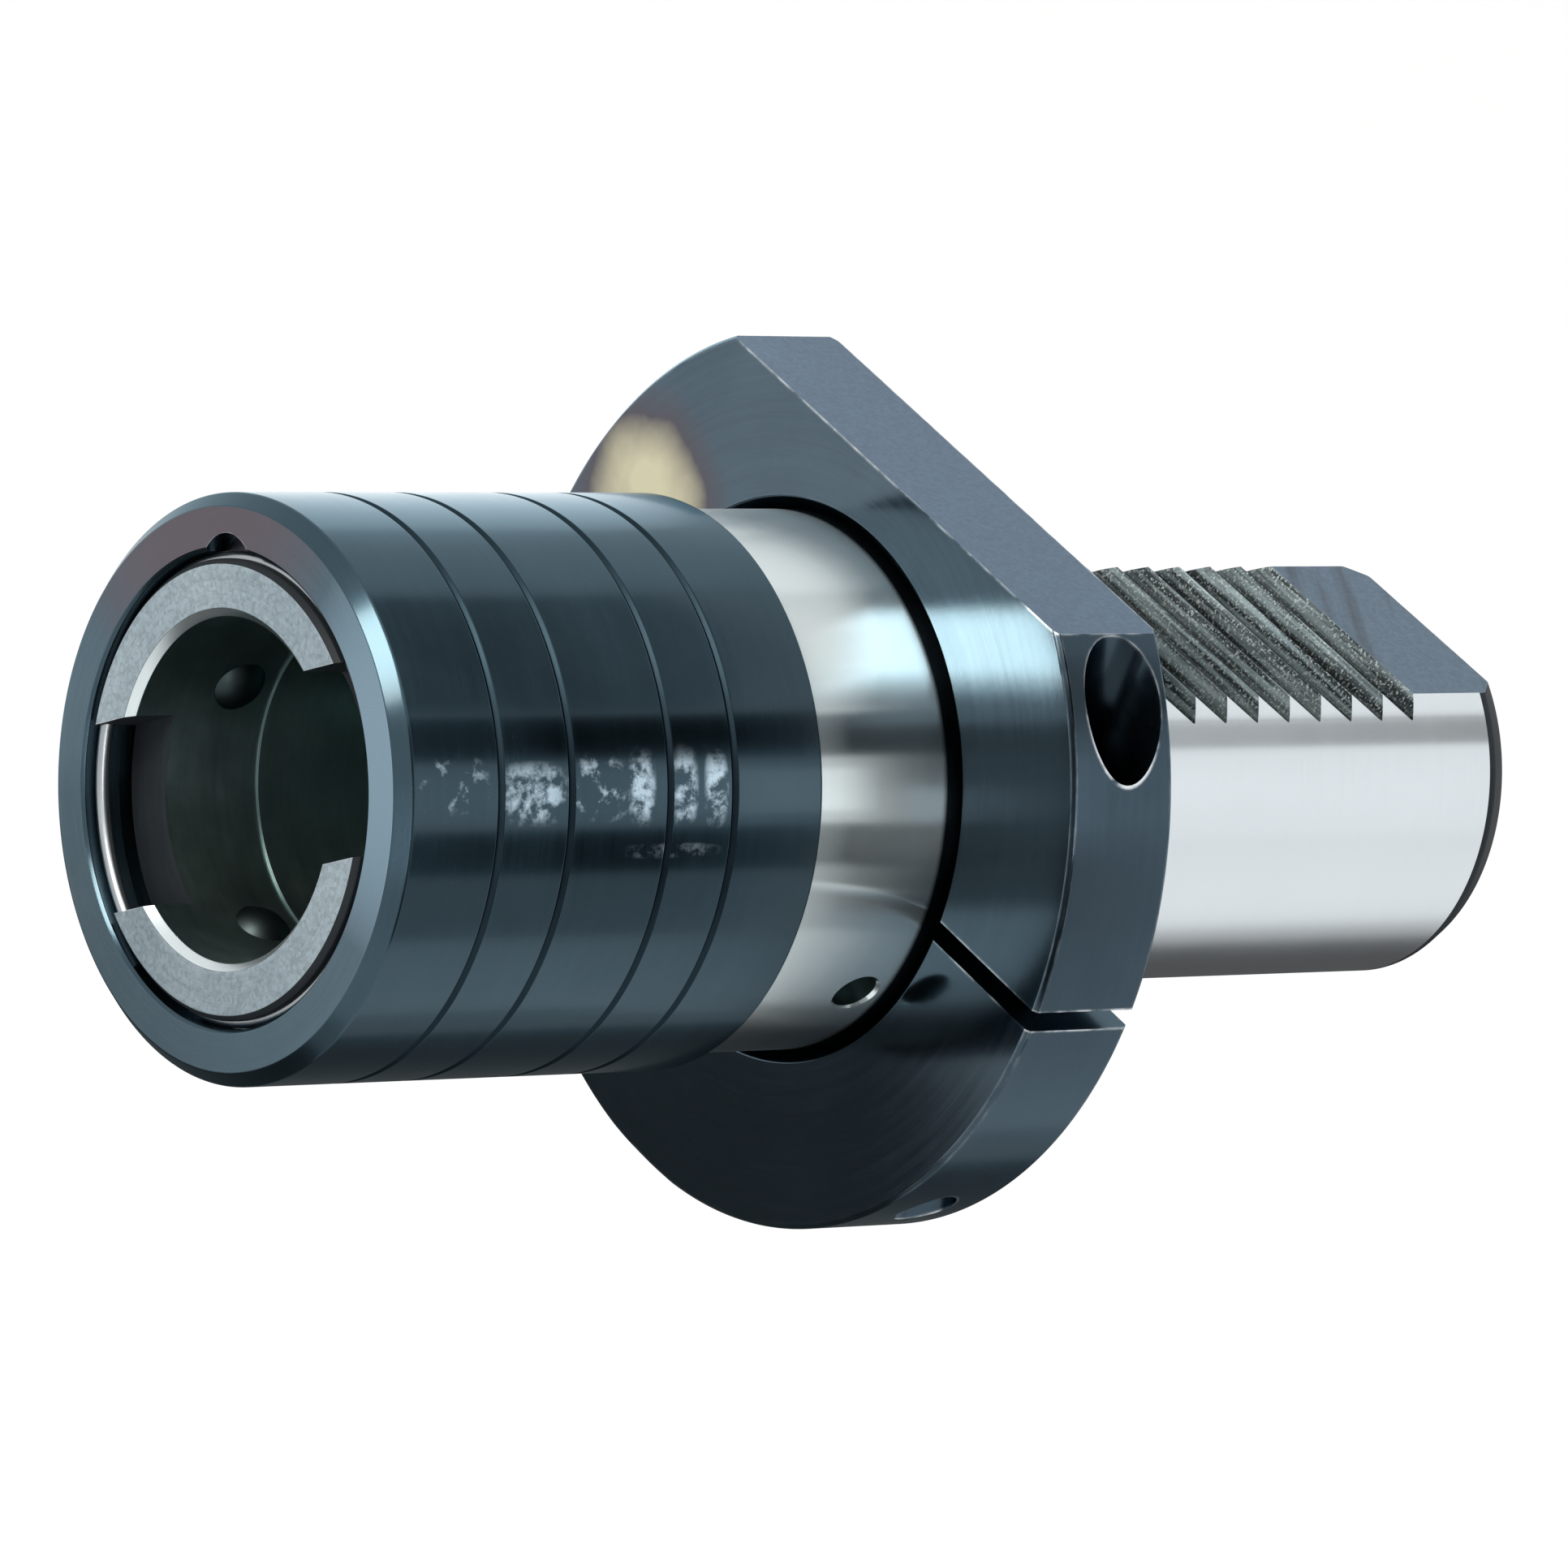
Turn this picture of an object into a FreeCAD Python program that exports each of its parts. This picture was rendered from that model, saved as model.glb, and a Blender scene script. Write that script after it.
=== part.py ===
import FreeCAD, Part
import os
import re
import Sketcher

# A static tapping chuck for a lathe turret. A round shank with a toothed flat goes into the turret, and
# a quick change head at the other end takes a tapping adapter and lets it float along the axis.
# X runs along the axis from the head towards the shank, Z is square to the toothed flat and Y is level.
# The origin is on the axis, in the flange's contact face.

# Driving sizes in millimetres, and angles in degrees from +Z towards -Y
sizes = {
    # Shank and toothed flat
    "shank_radius": 20.0,
    "shank_length": 63.0,
    "shank_chamfer_length": 2.0,
    "shank_chamfer_rise": 1.1,
    "flat_depth": 4.0,
    "tooth_pitch": 4.0,
    "tooth_depth": 1.8,
    "tooth_steep": 0.9,
    "tooth_count": 10,
    "tooth_end_land": 11.4,
    "shank_wall": 3.2,
    # Flange and its split clamp
    "flange_radius": 42.5,
    "flange_thick": 12.3,
    "flange_flat": 32.5,
    "flange_foot": 42.1,
    "flange_edge": 0.4,
    "flange_rear_edge": 0.5,
    "seat_depth": 8.0,
    "seat_mouth": 1.2,
    "slit_width": 2.0,
    "slit_root": 1.5,
    "seal_wire": 1.1,
    "seal_squeeze": 0.1,
    "seal_undercut": 0.4,
    # Clamp screw
    "screw_radius": 2.5,
    "screw_length": 25.0,
    "screw_head_radius": 4.25,
    "screw_head_height": 5.0,
    "screw_head_edge": 0.4,
    "screw_socket": 4.0,
    "screw_socket_depth": 2.6,
    "screw_seat_height": 6.0,
    "screw_back": 5.7,
    "screw_inset": 1.99,
    "well_radius": 4.5,
    # Guide tube
    "tube_length": 35.5,
    "tube_wall": 4.45,
    "tube_edge": 0.5,
    "pin_hole_radius": 2.25,
    "pin_hole_depth": 3.0,
    "pin_hole_cone": 0.7,
    "pin_hole_ahead": 4.2,
    "pin_hole_angle": 109.5,
    # Spindle
    "adapter_radius": 15.5,
    "adapter_mouth": 1.0,
    "adapter_depth": 37.4,
    "entry_gap": 0.25,
    "entry_land": 0.5,
    "face_edge": 0.5,
    "web_thick": 4.0,
    "skirt_wall": 2.5,
    "shoulder_thick": 1.6,
    "slot_width": 17.5,
    "slot_depth": 5.0,
    "slot_angle": 50.0,
    "stud_radius": 5.0,
    "stud_edge": 0.7,
    "travel": 10.0,
    # Lock balls
    "ball_radius": 3.5,
    "ball_bite": 1.0,
    "ball_stand": 0.5,
    "ball_setback": 4.5,
    "ball_depth": 11.4,
    "ball_count": 4,
    "ball_spread": 45.0,
    "release_travel": 4.5,
    # Release sleeve
    "sleeve_wall": 1.3,
    "sleeve_chamfer": 1.3,
    "sleeve_rear_edge": 0.4,
    "lip_edge": 0.3,
    "guide_land": 1.7,
    "grip_depth": 0.35,
    "grip_width": 0.8,
    "grip_1": 11.2,
    "grip_2": 19.2,
    "grip_3": 30.5,
    "grip_4": 38.0,
    "notch_radius": 4.0,
    "notch_sink": 2.5,
    "notch_angle": -28.8,
    "ring_wire": 0.65,
    "ring_depth": 1.7,
    "ring_gap_angle": 24.0,
    # Springs
    "sleeve_spring_length": 10.0,
    "sleeve_spring_wide": 2.2,
    "sleeve_spring_thick": 1.3,
    "sleeve_spring_turns": 3.0,
    "push_spring_wide": 3.0,
    "push_spring_thick": 2.6,
    "push_spring_turns": 3.5,
    "pull_spring_wide": 2.2,
    "pull_spring_thick": 2.0,
    "pull_spring_turns": 4.5,
    # Drive bush, keys, washer, nut and plug
    "bush_length": 9.7,
    "key_width": 4.0,
    "key_sink": 2.4,
    "key_seat": 2.5,
    "tail_bore_depth": 19.3,
    "seat_web": 2.0,
    "washer_thick": 2.0,
    "nut_thick": 5.0,
    "nut_edge": 0.8,
    "plug_thick": 6.4,
    "plug_step": 1.0,
    "plug_sunk": 0.4,
    "plug_edge": 0.5,
    "plug_socket": 10.0,
    "plug_socket_depth": 3.5,
    "plug_seal_wire": 0.9,
    # Clearances
    "running_gap": 0.05,
    "seat_gap": 0.02,
    "touch_gap": 0.02,
    "key_gap": 0.05,
    "stop_gap": 0.1,
    "skirt_gap": 0.2,
    "end_gap": 1.0,
    "sleeve_gap": 0.2,
    "flange_gap": 2.1,
    "shoulder_gap": 0.5,
    "lip_gap": 0.15,
    "ball_gap": 0.06,
    "ball_clear": 0.1,
    "recess_gap": 0.15,
    "tail_gap": 1.1,
    "washer_gap": 0.4,
    "nut_gap": 1.2,
    "stud_gap": 0.3,
}

# Places and fits, each worked out from the sizes above and the places before it
places = {
    # Along the axis
    "seat_floor": "seat_depth - flange_thick",
    "tube_front": "seat_floor - tube_length",
    "shoulder_rear": "tube_front - travel - stop_gap",
    "shoulder_front": "shoulder_rear - shoulder_thick",
    "chamber_face": "shoulder_front - sleeve_spring_length",
    "ball_place": "chamber_face - ball_setback",
    "head_front": "ball_place - ball_depth",
    "bore_floor": "head_front + adapter_depth",
    "web_rear": "bore_floor + web_thick",
    "bush_front": "seat_floor - bush_length",
    "skirt_rear": "bush_front - travel - skirt_gap",
    "tail_bore_end": "seat_floor + tail_bore_depth",
    "keyed_end": "tail_bore_end - travel - end_gap",
    "spring_seat": "tail_bore_end + seat_web",
    "plug_rear": "shank_length - plug_sunk",
    "plug_front": "plug_rear - plug_thick",
    "stud_end": "plug_front - travel - end_gap / 2",
    "nut_rear": "stud_end - stud_edge",
    "nut_front": "nut_rear - nut_thick",
    "washer_front": "nut_front - washer_thick",
    "entry_end": "ball_place + ball_radius + entry_land",
    "teeth_start": "shank_length - tooth_end_land - tooth_pitch * tooth_count",
    "sleeve_rear": "-flange_thick - flange_gap - travel - release_travel",
    "ring_place": "head_front + ring_depth",
    # Across the axis
    "flat_height": "shank_radius - flat_depth",
    "shank_bore": "flat_height - tooth_depth - shank_wall",
    "plug_bore": "shank_bore + plug_step",
    "plug_radius": "plug_bore - seat_gap",
    "tail_radius": "shank_bore - tail_gap",
    "stud_hole": "stud_radius + stud_gap",
    "spindle_radius": "adapter_radius + 2 * ball_radius - ball_bite - ball_stand",
    "tube_bore": "spindle_radius + running_gap",
    "tube_radius": "tube_bore + tube_wall",
    "seat_radius": "tube_radius + seat_gap",
    "skirt_bore": "tube_radius + sleeve_gap",
    "sleeve_radius": "skirt_bore + sleeve_wall",
    "shoulder_radius": "skirt_bore - shoulder_gap",
    "cavity_radius": "spindle_radius - skirt_wall",
    "lip_bore": "spindle_radius + ring_wire + lip_gap",
    "seal_radius": "shank_radius + seal_wire + seat_gap",
    "seal_groove": "seal_radius + 1.5 * seal_wire",
    "seal_floor": "-2 * seal_wire - seal_squeeze",
    "screw_side": "(seat_radius + flange_radius) / 2 - screw_inset",
    "bush_bore": "tail_radius + running_gap",
    "bush_radius": "tube_bore - seat_gap",
    "key_root": "tail_radius - key_sink",
    "key_top": "bush_bore + key_seat",
    # Lock balls, and the cone in the sleeve that keeps level with them as they move out
    "ball_rest": "adapter_radius - ball_bite + ball_radius",
    "ball_lift": "ball_bite + ball_clear",
    "cone_slope": "ball_lift / release_travel",
    "cone_at_ball": "ball_rest + ball_radius * sqrt(1 + cone_slope ^ 2) + ball_gap",
    "recess_radius": "ball_rest + ball_lift + ball_radius + recess_gap",
    "recess_front": "ball_place - release_travel - 0.93 * ball_radius",
    "cone_wide_end": "ball_place - (recess_radius - cone_at_ball) / cone_slope",
    "cone_narrow_end": "ball_place + ball_radius / 3",
    "cone_narrow_radius": "cone_at_ball - cone_slope * ball_radius / 3",
    "seat_drop": "0.57 * ball_radius",
    "seat_width": "sqrt(ball_radius ^ 2 - seat_drop ^ 2)",
    "seat_slope": "seat_drop / seat_width",
    # Springs
    "sleeve_spring_radius": "(spindle_radius + skirt_bore) / 2",
    "push_spring_radius": "(tail_radius + cavity_radius) / 2",
    "pull_spring_radius": "(stud_radius + shank_bore) / 2",
    "push_spring_length": "bush_front - web_rear",
    "pull_spring_length": "washer_front - spring_seat",
}

doc = FreeCAD.newDocument("tapping_chuck")


def bound(text):
    # Each name of a size or place, with the sheet that holds it in front
    def with_sheet(match):
        name = match.group(0)
        if name in sizes:
            return "Sizes." + name
        if name in places:
            return "Places." + name
        return name

    return re.sub(r"[a-z][a-z_0-9]*", with_sheet, text)


def make_sheet(label, cells):
    sheet = doc.addObject("Spreadsheet::Sheet", label)
    for row, (name, content) in enumerate(cells.items(), start=1):
        sheet.set(f"A{row}", name)
        sheet.set(f"B{row}", content)
        sheet.setAlias(f"B{row}", name)
    return sheet


make_sheet("Sizes", {name: str(value) for name, value in sizes.items()})
make_sheet("Places", {name: "=" + bound(text) for name, text in places.items()})
doc.recompute()


def new_body(name):
    body = doc.addObject("PartDesign::Body", name)
    body.Label = name
    return body


def origin_part(body, role):
    for feature in body.Origin.OriginFeatures:
        if feature.Role == role:
            return feature


def new_sketch(body, plane, name, shift=None, turn=None):
    # A sketch on one of the body's own planes, moved by shift and turned about its own X or Z
    sketch = body.newObject("Sketcher::SketchObject", name)
    sketch.AttachmentSupport = [(origin_part(body, plane), "")]
    sketch.MapMode = "FlatFace"
    if turn:
        about = FreeCAD.Vector(1, 0, 0) if turn[0] == "X" else FreeCAD.Vector(0, 0, 1)
        sketch.AttachmentOffset = FreeCAD.Placement(FreeCAD.Vector(), FreeCAD.Rotation(about, 10))
        sketch.setExpression("AttachmentOffset.Rotation.Angle", bound(turn[1]))
    for letter, text in (shift or {}).items():
        sketch.setExpression("AttachmentOffset.Base." + letter, bound(text))
    return sketch


def fix_point(sketch, geometry, end, across, up):
    # Ties one end of an edge to its two coordinates
    for kind, text in (("DistanceX", across), ("DistanceY", up)):
        index = sketch.addConstraint(Sketcher.Constraint(kind, -1, 1, geometry, end, 1.0))
        sketch.setExpression(f"Constraints[{index}]", bound(text))


def draw_outline(sketch, points):
    # A closed outline of straight edges; the edges start on a circle and the coordinates pull them in
    count = len(points)
    first = sketch.GeometryCount
    ring = Part.makeCircle(count).discretize(Number=count + 1)
    for index in range(count):
        sketch.addGeometry(Part.LineSegment(ring[index], ring[index + 1]), False)
    for index in range(count):
        after = (index + 1) % count
        sketch.addConstraint(Sketcher.Constraint("Coincident", first + index, 2, first + after, 1))
    for index, (across, up) in enumerate(points):
        fix_point(sketch, first + index, 1, across, up)


def draw_rectangle(sketch, low_across, high_across, low_up, high_up):
    corners = [(low_across, low_up), (high_across, low_up), (high_across, high_up), (low_across, high_up)]
    draw_outline(sketch, corners)


def draw_circle(sketch, across, up, radius):
    circle = Part.Circle(FreeCAD.Vector(), FreeCAD.Vector(0, 0, 1), 1.0)
    index = sketch.addGeometry(circle, False)
    fix_point(sketch, index, 3, across, up)
    size = sketch.addConstraint(Sketcher.Constraint("Radius", index, 1.0))
    sketch.setExpression(f"Constraints[{size}]", bound(radius))


def turned(name, points, angle="360"):
    # A turned piece: the outline's first coordinate runs along the axis and its second is the radius
    body = new_body(name)
    sketch = new_sketch(body, "XY_Plane", name + "_outline")
    draw_outline(sketch, points)
    turning = body.newObject("PartDesign::Revolution", name + "_turning")
    turning.Profile = sketch
    turning.ReferenceAxis = (sketch, ["H_Axis"])
    turning.setExpression("Angle", bound(angle))
    body.Tip = turning
    return body


def cut_through(body, sketch, name):
    # Cuts the sketch through everything on both of its sides
    cut = body.newObject("PartDesign::Pocket", name)
    cut.Profile = sketch
    cut.Type = "ThroughAll"
    cut.SideType = "Symmetric"
    body.Tip = cut
    return cut


def cut_to_depth(body, sketch, name, depth, forwards):
    # Cuts along the sketch's normal when forwards is true, and against it otherwise
    cut = body.newObject("PartDesign::Pocket", name)
    cut.Profile = sketch
    cut.Type = "Length"
    cut.setExpression("Length", bound(depth))
    cut.Reversed = forwards
    body.Tip = cut
    return cut


def drill(body, name, points, shift=None, turn=None):
    # A stepped round hole about a line square to the axis: the outline's first coordinate is the radius
    sketch = new_sketch(body, "XZ_Plane", name + "_outline", shift, turn)
    draw_outline(sketch, points)
    cut = body.newObject("PartDesign::Groove", name)
    cut.Profile = sketch
    cut.ReferenceAxis = (sketch, ["V_Axis"])
    cut.Angle = 360
    body.Tip = cut
    return cut


def repeat_round(body, feature, name, count):
    pattern = body.newObject("PartDesign::PolarPattern", name)
    pattern.Originals = [feature]
    pattern.Axis = (origin_part(body, "X_Axis"), [""])
    pattern.Angle = 360
    pattern.setExpression("Occurrences", bound(count))
    body.Tip = pattern
    return pattern


def hexagon(name, flats, length, place, turn):
    prism = doc.addObject("Part::Prism", name)
    prism.Polygon = 6
    prism.setExpression("Circumradius", bound(f"({flats}) / 2 / cos(30)"))
    prism.setExpression("Height", bound(length))
    prism.Placement = FreeCAD.Placement(FreeCAD.Vector(), turn)
    for letter, text in place.items():
        prism.setExpression("Placement.Base." + letter, bound(text))
    return prism


def cut_with(name, base, tool):
    base.Label = name + "_blank"
    result = doc.addObject("Part::Cut", name + "_cut")
    result.Base = base
    result.Tool = tool
    result.Label = name
    return result


along_x = FreeCAD.Rotation(FreeCAD.Vector(0, 1, 0), 90)


# Shank and flange, one piece: turned, then the flats, teeth, slit and screw well are cut
def make_holder():
    body = turned("vdi_holder", [
        ("-flange_thick", "seat_radius + seat_mouth"),
        ("-flange_thick", "flange_radius - flange_edge"),
        ("-flange_thick + flange_edge", "flange_radius"),
        ("-flange_rear_edge", "flange_radius"),
        ("0", "flange_radius - flange_rear_edge"),
        ("0", "seal_groove"),
        ("seal_floor", "seal_groove"),
        ("seal_floor", "shank_radius - seal_undercut"),
        ("0", "shank_radius - seal_undercut"),
        ("0", "shank_radius"),
        ("shank_length - shank_chamfer_length", "shank_radius"),
        ("shank_length", "shank_radius - shank_chamfer_rise"),
        ("shank_length", "plug_bore + plug_edge"),
        ("shank_length - plug_edge", "plug_bore"),
        ("plug_front", "plug_bore"),
        ("plug_front", "shank_bore"),
        ("spring_seat", "shank_bore"),
        ("spring_seat", "stud_hole"),
        ("tail_bore_end", "stud_hole"),
        ("tail_bore_end", "shank_bore"),
        ("seat_floor", "shank_bore"),
        ("seat_floor", "seat_radius"),
        ("-flange_thick + seat_mouth", "seat_radius"),
    ])
    for name, low, high in (("flange_flat", "flange_flat", "flange_radius + 1"),
                            ("flange_foot", "-flange_radius - 1", "-flange_foot")):
        flat = new_sketch(body, "XZ_Plane", name + "_outline")
        draw_rectangle(flat, "-flange_thick - 1", "0", low, high)
        cut_through(body, flat, name + "_cut")
    land = new_sketch(body, "XZ_Plane", "shank_flat_outline")
    draw_rectangle(land, "0", "shank_length + 1", "flat_height", "shank_radius + 1")
    cut_through(body, land, "shank_flat_cut")
    gap = new_sketch(body, "XZ_Plane", "tooth_gap_outline")
    draw_outline(gap, [
        ("teeth_start", "flat_height"),
        ("teeth_start + tooth_pitch - tooth_steep", "flat_height - tooth_depth"),
        ("teeth_start + tooth_pitch", "flat_height"),
        ("teeth_start + tooth_pitch", "flat_height + 1"),
        ("teeth_start", "flat_height + 1"),
    ])
    tooth_gap = cut_through(body, gap, "tooth_gap")
    teeth = body.newObject("PartDesign::LinearPattern", "teeth")
    teeth.Originals = [tooth_gap]
    teeth.Direction = (gap, ["H_Axis"])
    teeth.setExpression("Length", bound("tooth_pitch * (tooth_count - 1)"))
    teeth.setExpression("Occurrences", bound("tooth_count"))
    body.Tip = teeth
    slit = new_sketch(body, "YZ_Plane", "slit_outline")
    draw_rectangle(slit, "-flange_radius - 1", "-seal_groove - slit_root", "-slit_width / 2", "slit_width / 2")
    cut_through(body, slit, "slit")
    drill(body, "screw_well", [
        ("0", "-flange_radius"),
        ("screw_radius + seat_gap", "-flange_radius"),
        ("screw_radius + seat_gap", "screw_seat_height"),
        ("well_radius", "screw_seat_height"),
        ("well_radius", "flange_radius"),
        ("0", "flange_radius"),
    ], shift={"x": "-screw_back", "z": "screw_side"})
    return body


def make_clamp_screw():
    body = new_body("clamp_screw")
    sketch = new_sketch(body, "XZ_Plane", "clamp_screw_outline", shift={"x": "-screw_back", "z": "screw_side"})
    draw_outline(sketch, [
        ("0", "screw_seat_height - screw_length"),
        ("screw_radius - screw_head_edge", "screw_seat_height - screw_length"),
        ("screw_radius", "screw_seat_height - screw_length + screw_head_edge"),
        ("screw_radius", "screw_seat_height"),
        ("screw_head_radius", "screw_seat_height"),
        ("screw_head_radius", "screw_seat_height + screw_head_height - screw_head_edge"),
        ("screw_head_radius - screw_head_edge", "screw_seat_height + screw_head_height"),
        ("0", "screw_seat_height + screw_head_height"),
    ])
    turning = body.newObject("PartDesign::Revolution", "clamp_screw_turning")
    turning.Profile = sketch
    turning.ReferenceAxis = (sketch, ["V_Axis"])
    turning.Angle = 360
    body.Tip = turning
    place = {"x": "-screw_back", "y": "-screw_side",
             "z": "screw_seat_height + screw_head_height - screw_socket_depth"}
    socket = hexagon("clamp_screw_socket", "screw_socket", "screw_socket_depth + 1", place, FreeCAD.Rotation())
    return cut_with("clamp_screw", body, socket)


def make_ring(name, place, radius, wire, open_angle="0"):
    # An eight-sided wire ring about the axis, closed, or open at the bottom by an angle
    corners = [22.5 + 45 * corner for corner in range(8)]
    ring = turned(name, [
        (f"{place} + {wire} * cos({corner}) / cos(22.5)", f"{radius} + {wire} * sin({corner}) / cos(22.5)")
        for corner in corners
    ], f"360 - {open_angle}")
    ring.Placement = FreeCAD.Placement(FreeCAD.Vector(), FreeCAD.Rotation(FreeCAD.Vector(1, 0, 0), 10))
    ring.setExpression("Placement.Rotation.Angle", bound(f"{open_angle} / 2 - 90"))
    return ring


def make_guide_tube():
    body = turned("guide_tube", [
        ("tube_front", "tube_bore + tube_edge"),
        ("tube_front", "tube_radius - tube_edge"),
        ("tube_front + tube_edge", "tube_radius"),
        ("seat_floor - tube_edge", "tube_radius"),
        ("seat_floor", "tube_radius - tube_edge"),
        ("seat_floor", "tube_bore"),
        ("tube_front + tube_edge", "tube_bore"),
    ])
    drill(body, "spanner_hole", [
        ("0", "tube_radius - pin_hole_depth - pin_hole_cone"),
        ("pin_hole_radius", "tube_radius - pin_hole_depth"),
        ("pin_hole_radius", "tube_radius + 1"),
        ("0", "tube_radius + 1"),
    ], shift={"x": "-flange_thick - pin_hole_ahead"}, turn=("X", "pin_hole_angle"))
    return body


def make_drive_bush():
    body = turned("drive_bush", [
        ("bush_front", "bush_bore"),
        ("bush_front", "bush_radius"),
        ("seat_floor", "bush_radius"),
        ("seat_floor", "bush_bore"),
    ])
    sketch = new_sketch(body, "YZ_Plane", "bush_keyways_outline")
    side = "key_width / 2 + seat_gap"
    draw_rectangle(sketch, "-" + side.replace("+", "-"), side, "-key_top - seat_gap", "key_top + seat_gap")
    cut_through(body, sketch, "bush_keyways")
    return body


def make_drive_key(name, sign):
    key = doc.addObject("Part::Box", name)
    key.Label = name
    key.setExpression("Length", bound("bush_length"))
    key.setExpression("Width", bound("key_width"))
    key.setExpression("Height", bound("key_top - key_root"))
    key.setExpression("Placement.Base.x", bound("bush_front"))
    key.setExpression("Placement.Base.y", bound("-key_width / 2"))
    key.setExpression("Placement.Base.z", bound("key_root" if sign > 0 else "-key_top"))
    return key


def make_shank_plug():
    middle = "(plug_front + plug_rear) / 2"
    body = turned("shank_plug", [
        ("plug_front", "0"),
        ("plug_front", "plug_radius - plug_edge"),
        ("plug_front + plug_edge", "plug_radius"),
        (middle + " - 1.2 * plug_seal_wire", "plug_radius"),
        (middle + " - 1.2 * plug_seal_wire", "plug_bore - 2 * plug_seal_wire - 2 * seat_gap"),
        (middle + " + 1.2 * plug_seal_wire", "plug_bore - 2 * plug_seal_wire - 2 * seat_gap"),
        (middle + " + 1.2 * plug_seal_wire", "plug_radius"),
        ("plug_rear - plug_edge", "plug_radius"),
        ("plug_rear", "plug_radius - plug_edge"),
        ("plug_rear", "0"),
    ])
    socket = hexagon("shank_plug_socket", "plug_socket", "plug_socket_depth + 1",
                     {"x": "plug_rear - plug_socket_depth"}, along_x)
    return cut_with("shank_plug", body, socket)


# The spindle holds the adapter, slides in the guide tube and is keyed in the drive bush
def make_spindle():
    groove = "ring_wire + touch_gap"
    body = turned("spindle", [
        ("head_front", "adapter_radius + adapter_mouth"),
        ("head_front", "spindle_radius - face_edge"),
        ("head_front + face_edge", "spindle_radius"),
        ("ring_place - ring_wire - touch_gap", "spindle_radius"),
        ("ring_place - ring_wire - touch_gap", "spindle_radius - ring_wire - touch_gap"),
        ("ring_place + " + groove, "spindle_radius - ring_wire - touch_gap"),
        ("ring_place + " + groove, "spindle_radius"),
        ("shoulder_front", "spindle_radius"),
        ("shoulder_front", "shoulder_radius"),
        ("shoulder_rear", "shoulder_radius"),
        ("shoulder_rear", "spindle_radius"),
        ("skirt_rear", "spindle_radius"),
        ("skirt_rear", "cavity_radius"),
        ("web_rear", "cavity_radius"),
        ("web_rear", "tail_radius"),
        ("keyed_end", "tail_radius"),
        ("keyed_end", "stud_radius"),
        ("stud_end - stud_edge", "stud_radius"),
        ("stud_end", "stud_radius - stud_edge"),
        ("stud_end", "0"),
        ("bore_floor", "0"),
        ("bore_floor", "adapter_radius"),
        ("entry_end", "adapter_radius"),
        ("entry_end", "adapter_radius + entry_gap"),
        ("head_front + adapter_mouth - entry_gap", "adapter_radius + entry_gap"),
    ])
    slots = new_sketch(body, "YZ_Plane", "drive_slots_outline", {"z": "head_front"}, ("Z", "slot_angle"))
    draw_rectangle(slots, "-slot_width / 2", "slot_width / 2", "-spindle_radius - 1", "spindle_radius + 1")
    cut_to_depth(body, slots, "drive_slots", "slot_depth", True)
    hole = drill(body, "ball_hole", [
        ("0", "adapter_radius - ball_radius"),
        ("seat_width + ball_gap - seat_slope * (ball_rest - seat_drop - adapter_radius + ball_radius)",
         "adapter_radius - ball_radius"),
        ("ball_radius + ball_gap", "ball_rest - seat_drop + (ball_radius - seat_width) / seat_slope"),
        ("ball_radius + ball_gap", "spindle_radius + 1"),
        ("0", "spindle_radius + 1"),
    ], shift={"x": "ball_place"}, turn=("X", "slot_angle + ball_spread"))
    repeat_round(body, hole, "ball_holes", "ball_count")
    keyway = new_sketch(body, "YZ_Plane", "keyways_outline", {"z": "keyed_end"})
    draw_rectangle(keyway, "-key_width / 2 - key_gap", "key_width / 2 + key_gap",
                   "key_root - stop_gap", "tail_radius + 1")
    cut = cut_to_depth(body, keyway, "keyway", "keyed_end - skirt_rear + end_gap / 2", False)
    repeat_round(body, cut, "keyways", "2")
    return body


# The sleeve: a lip round the spindle's face, a step behind the wire ring, a cone over the balls,
# a guide land, and a thin skirt over the spring and the guide tube
def make_release_sleeve():
    outline = [
        ("head_front", "lip_bore + lip_edge"),
        ("head_front", "sleeve_radius - sleeve_chamfer"),
        ("head_front + sleeve_chamfer", "sleeve_radius"),
    ]
    for grip in ("grip_1", "grip_2", "grip_3", "grip_4"):
        outline += [
            (f"head_front + {grip} - grip_width / 2", "sleeve_radius"),
            (f"head_front + {grip}", "sleeve_radius - grip_depth"),
            (f"head_front + {grip} + grip_width / 2", "sleeve_radius"),
        ]
    outline += [
        ("sleeve_rear - sleeve_rear_edge", "sleeve_radius"),
        ("sleeve_rear", "sleeve_radius - sleeve_rear_edge"),
        ("sleeve_rear", "skirt_bore"),
        ("chamber_face", "skirt_bore"),
        ("chamber_face", "tube_bore"),
        ("chamber_face - guide_land", "tube_bore"),
        ("chamber_face - guide_land", "cone_narrow_radius"),
        ("cone_narrow_end", "cone_narrow_radius"),
        ("cone_wide_end", "recess_radius"),
        ("recess_front", "recess_radius"),
        ("recess_front", "tube_bore"),
        ("ring_place + ring_wire + touch_gap", "tube_bore"),
        ("ring_place + ring_wire + touch_gap", "lip_bore"),
        ("head_front + lip_edge", "lip_bore"),
    ]
    body = turned("release_sleeve", outline)
    notch = new_sketch(body, "YZ_Plane", "notch_outline", {"z": "head_front"}, ("Z", "notch_angle"))
    draw_circle(notch, "0", "lip_bore - notch_sink", "notch_radius")
    cut_to_depth(body, notch, "notch", "ring_depth + ring_wire + touch_gap", True)
    return body


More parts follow.
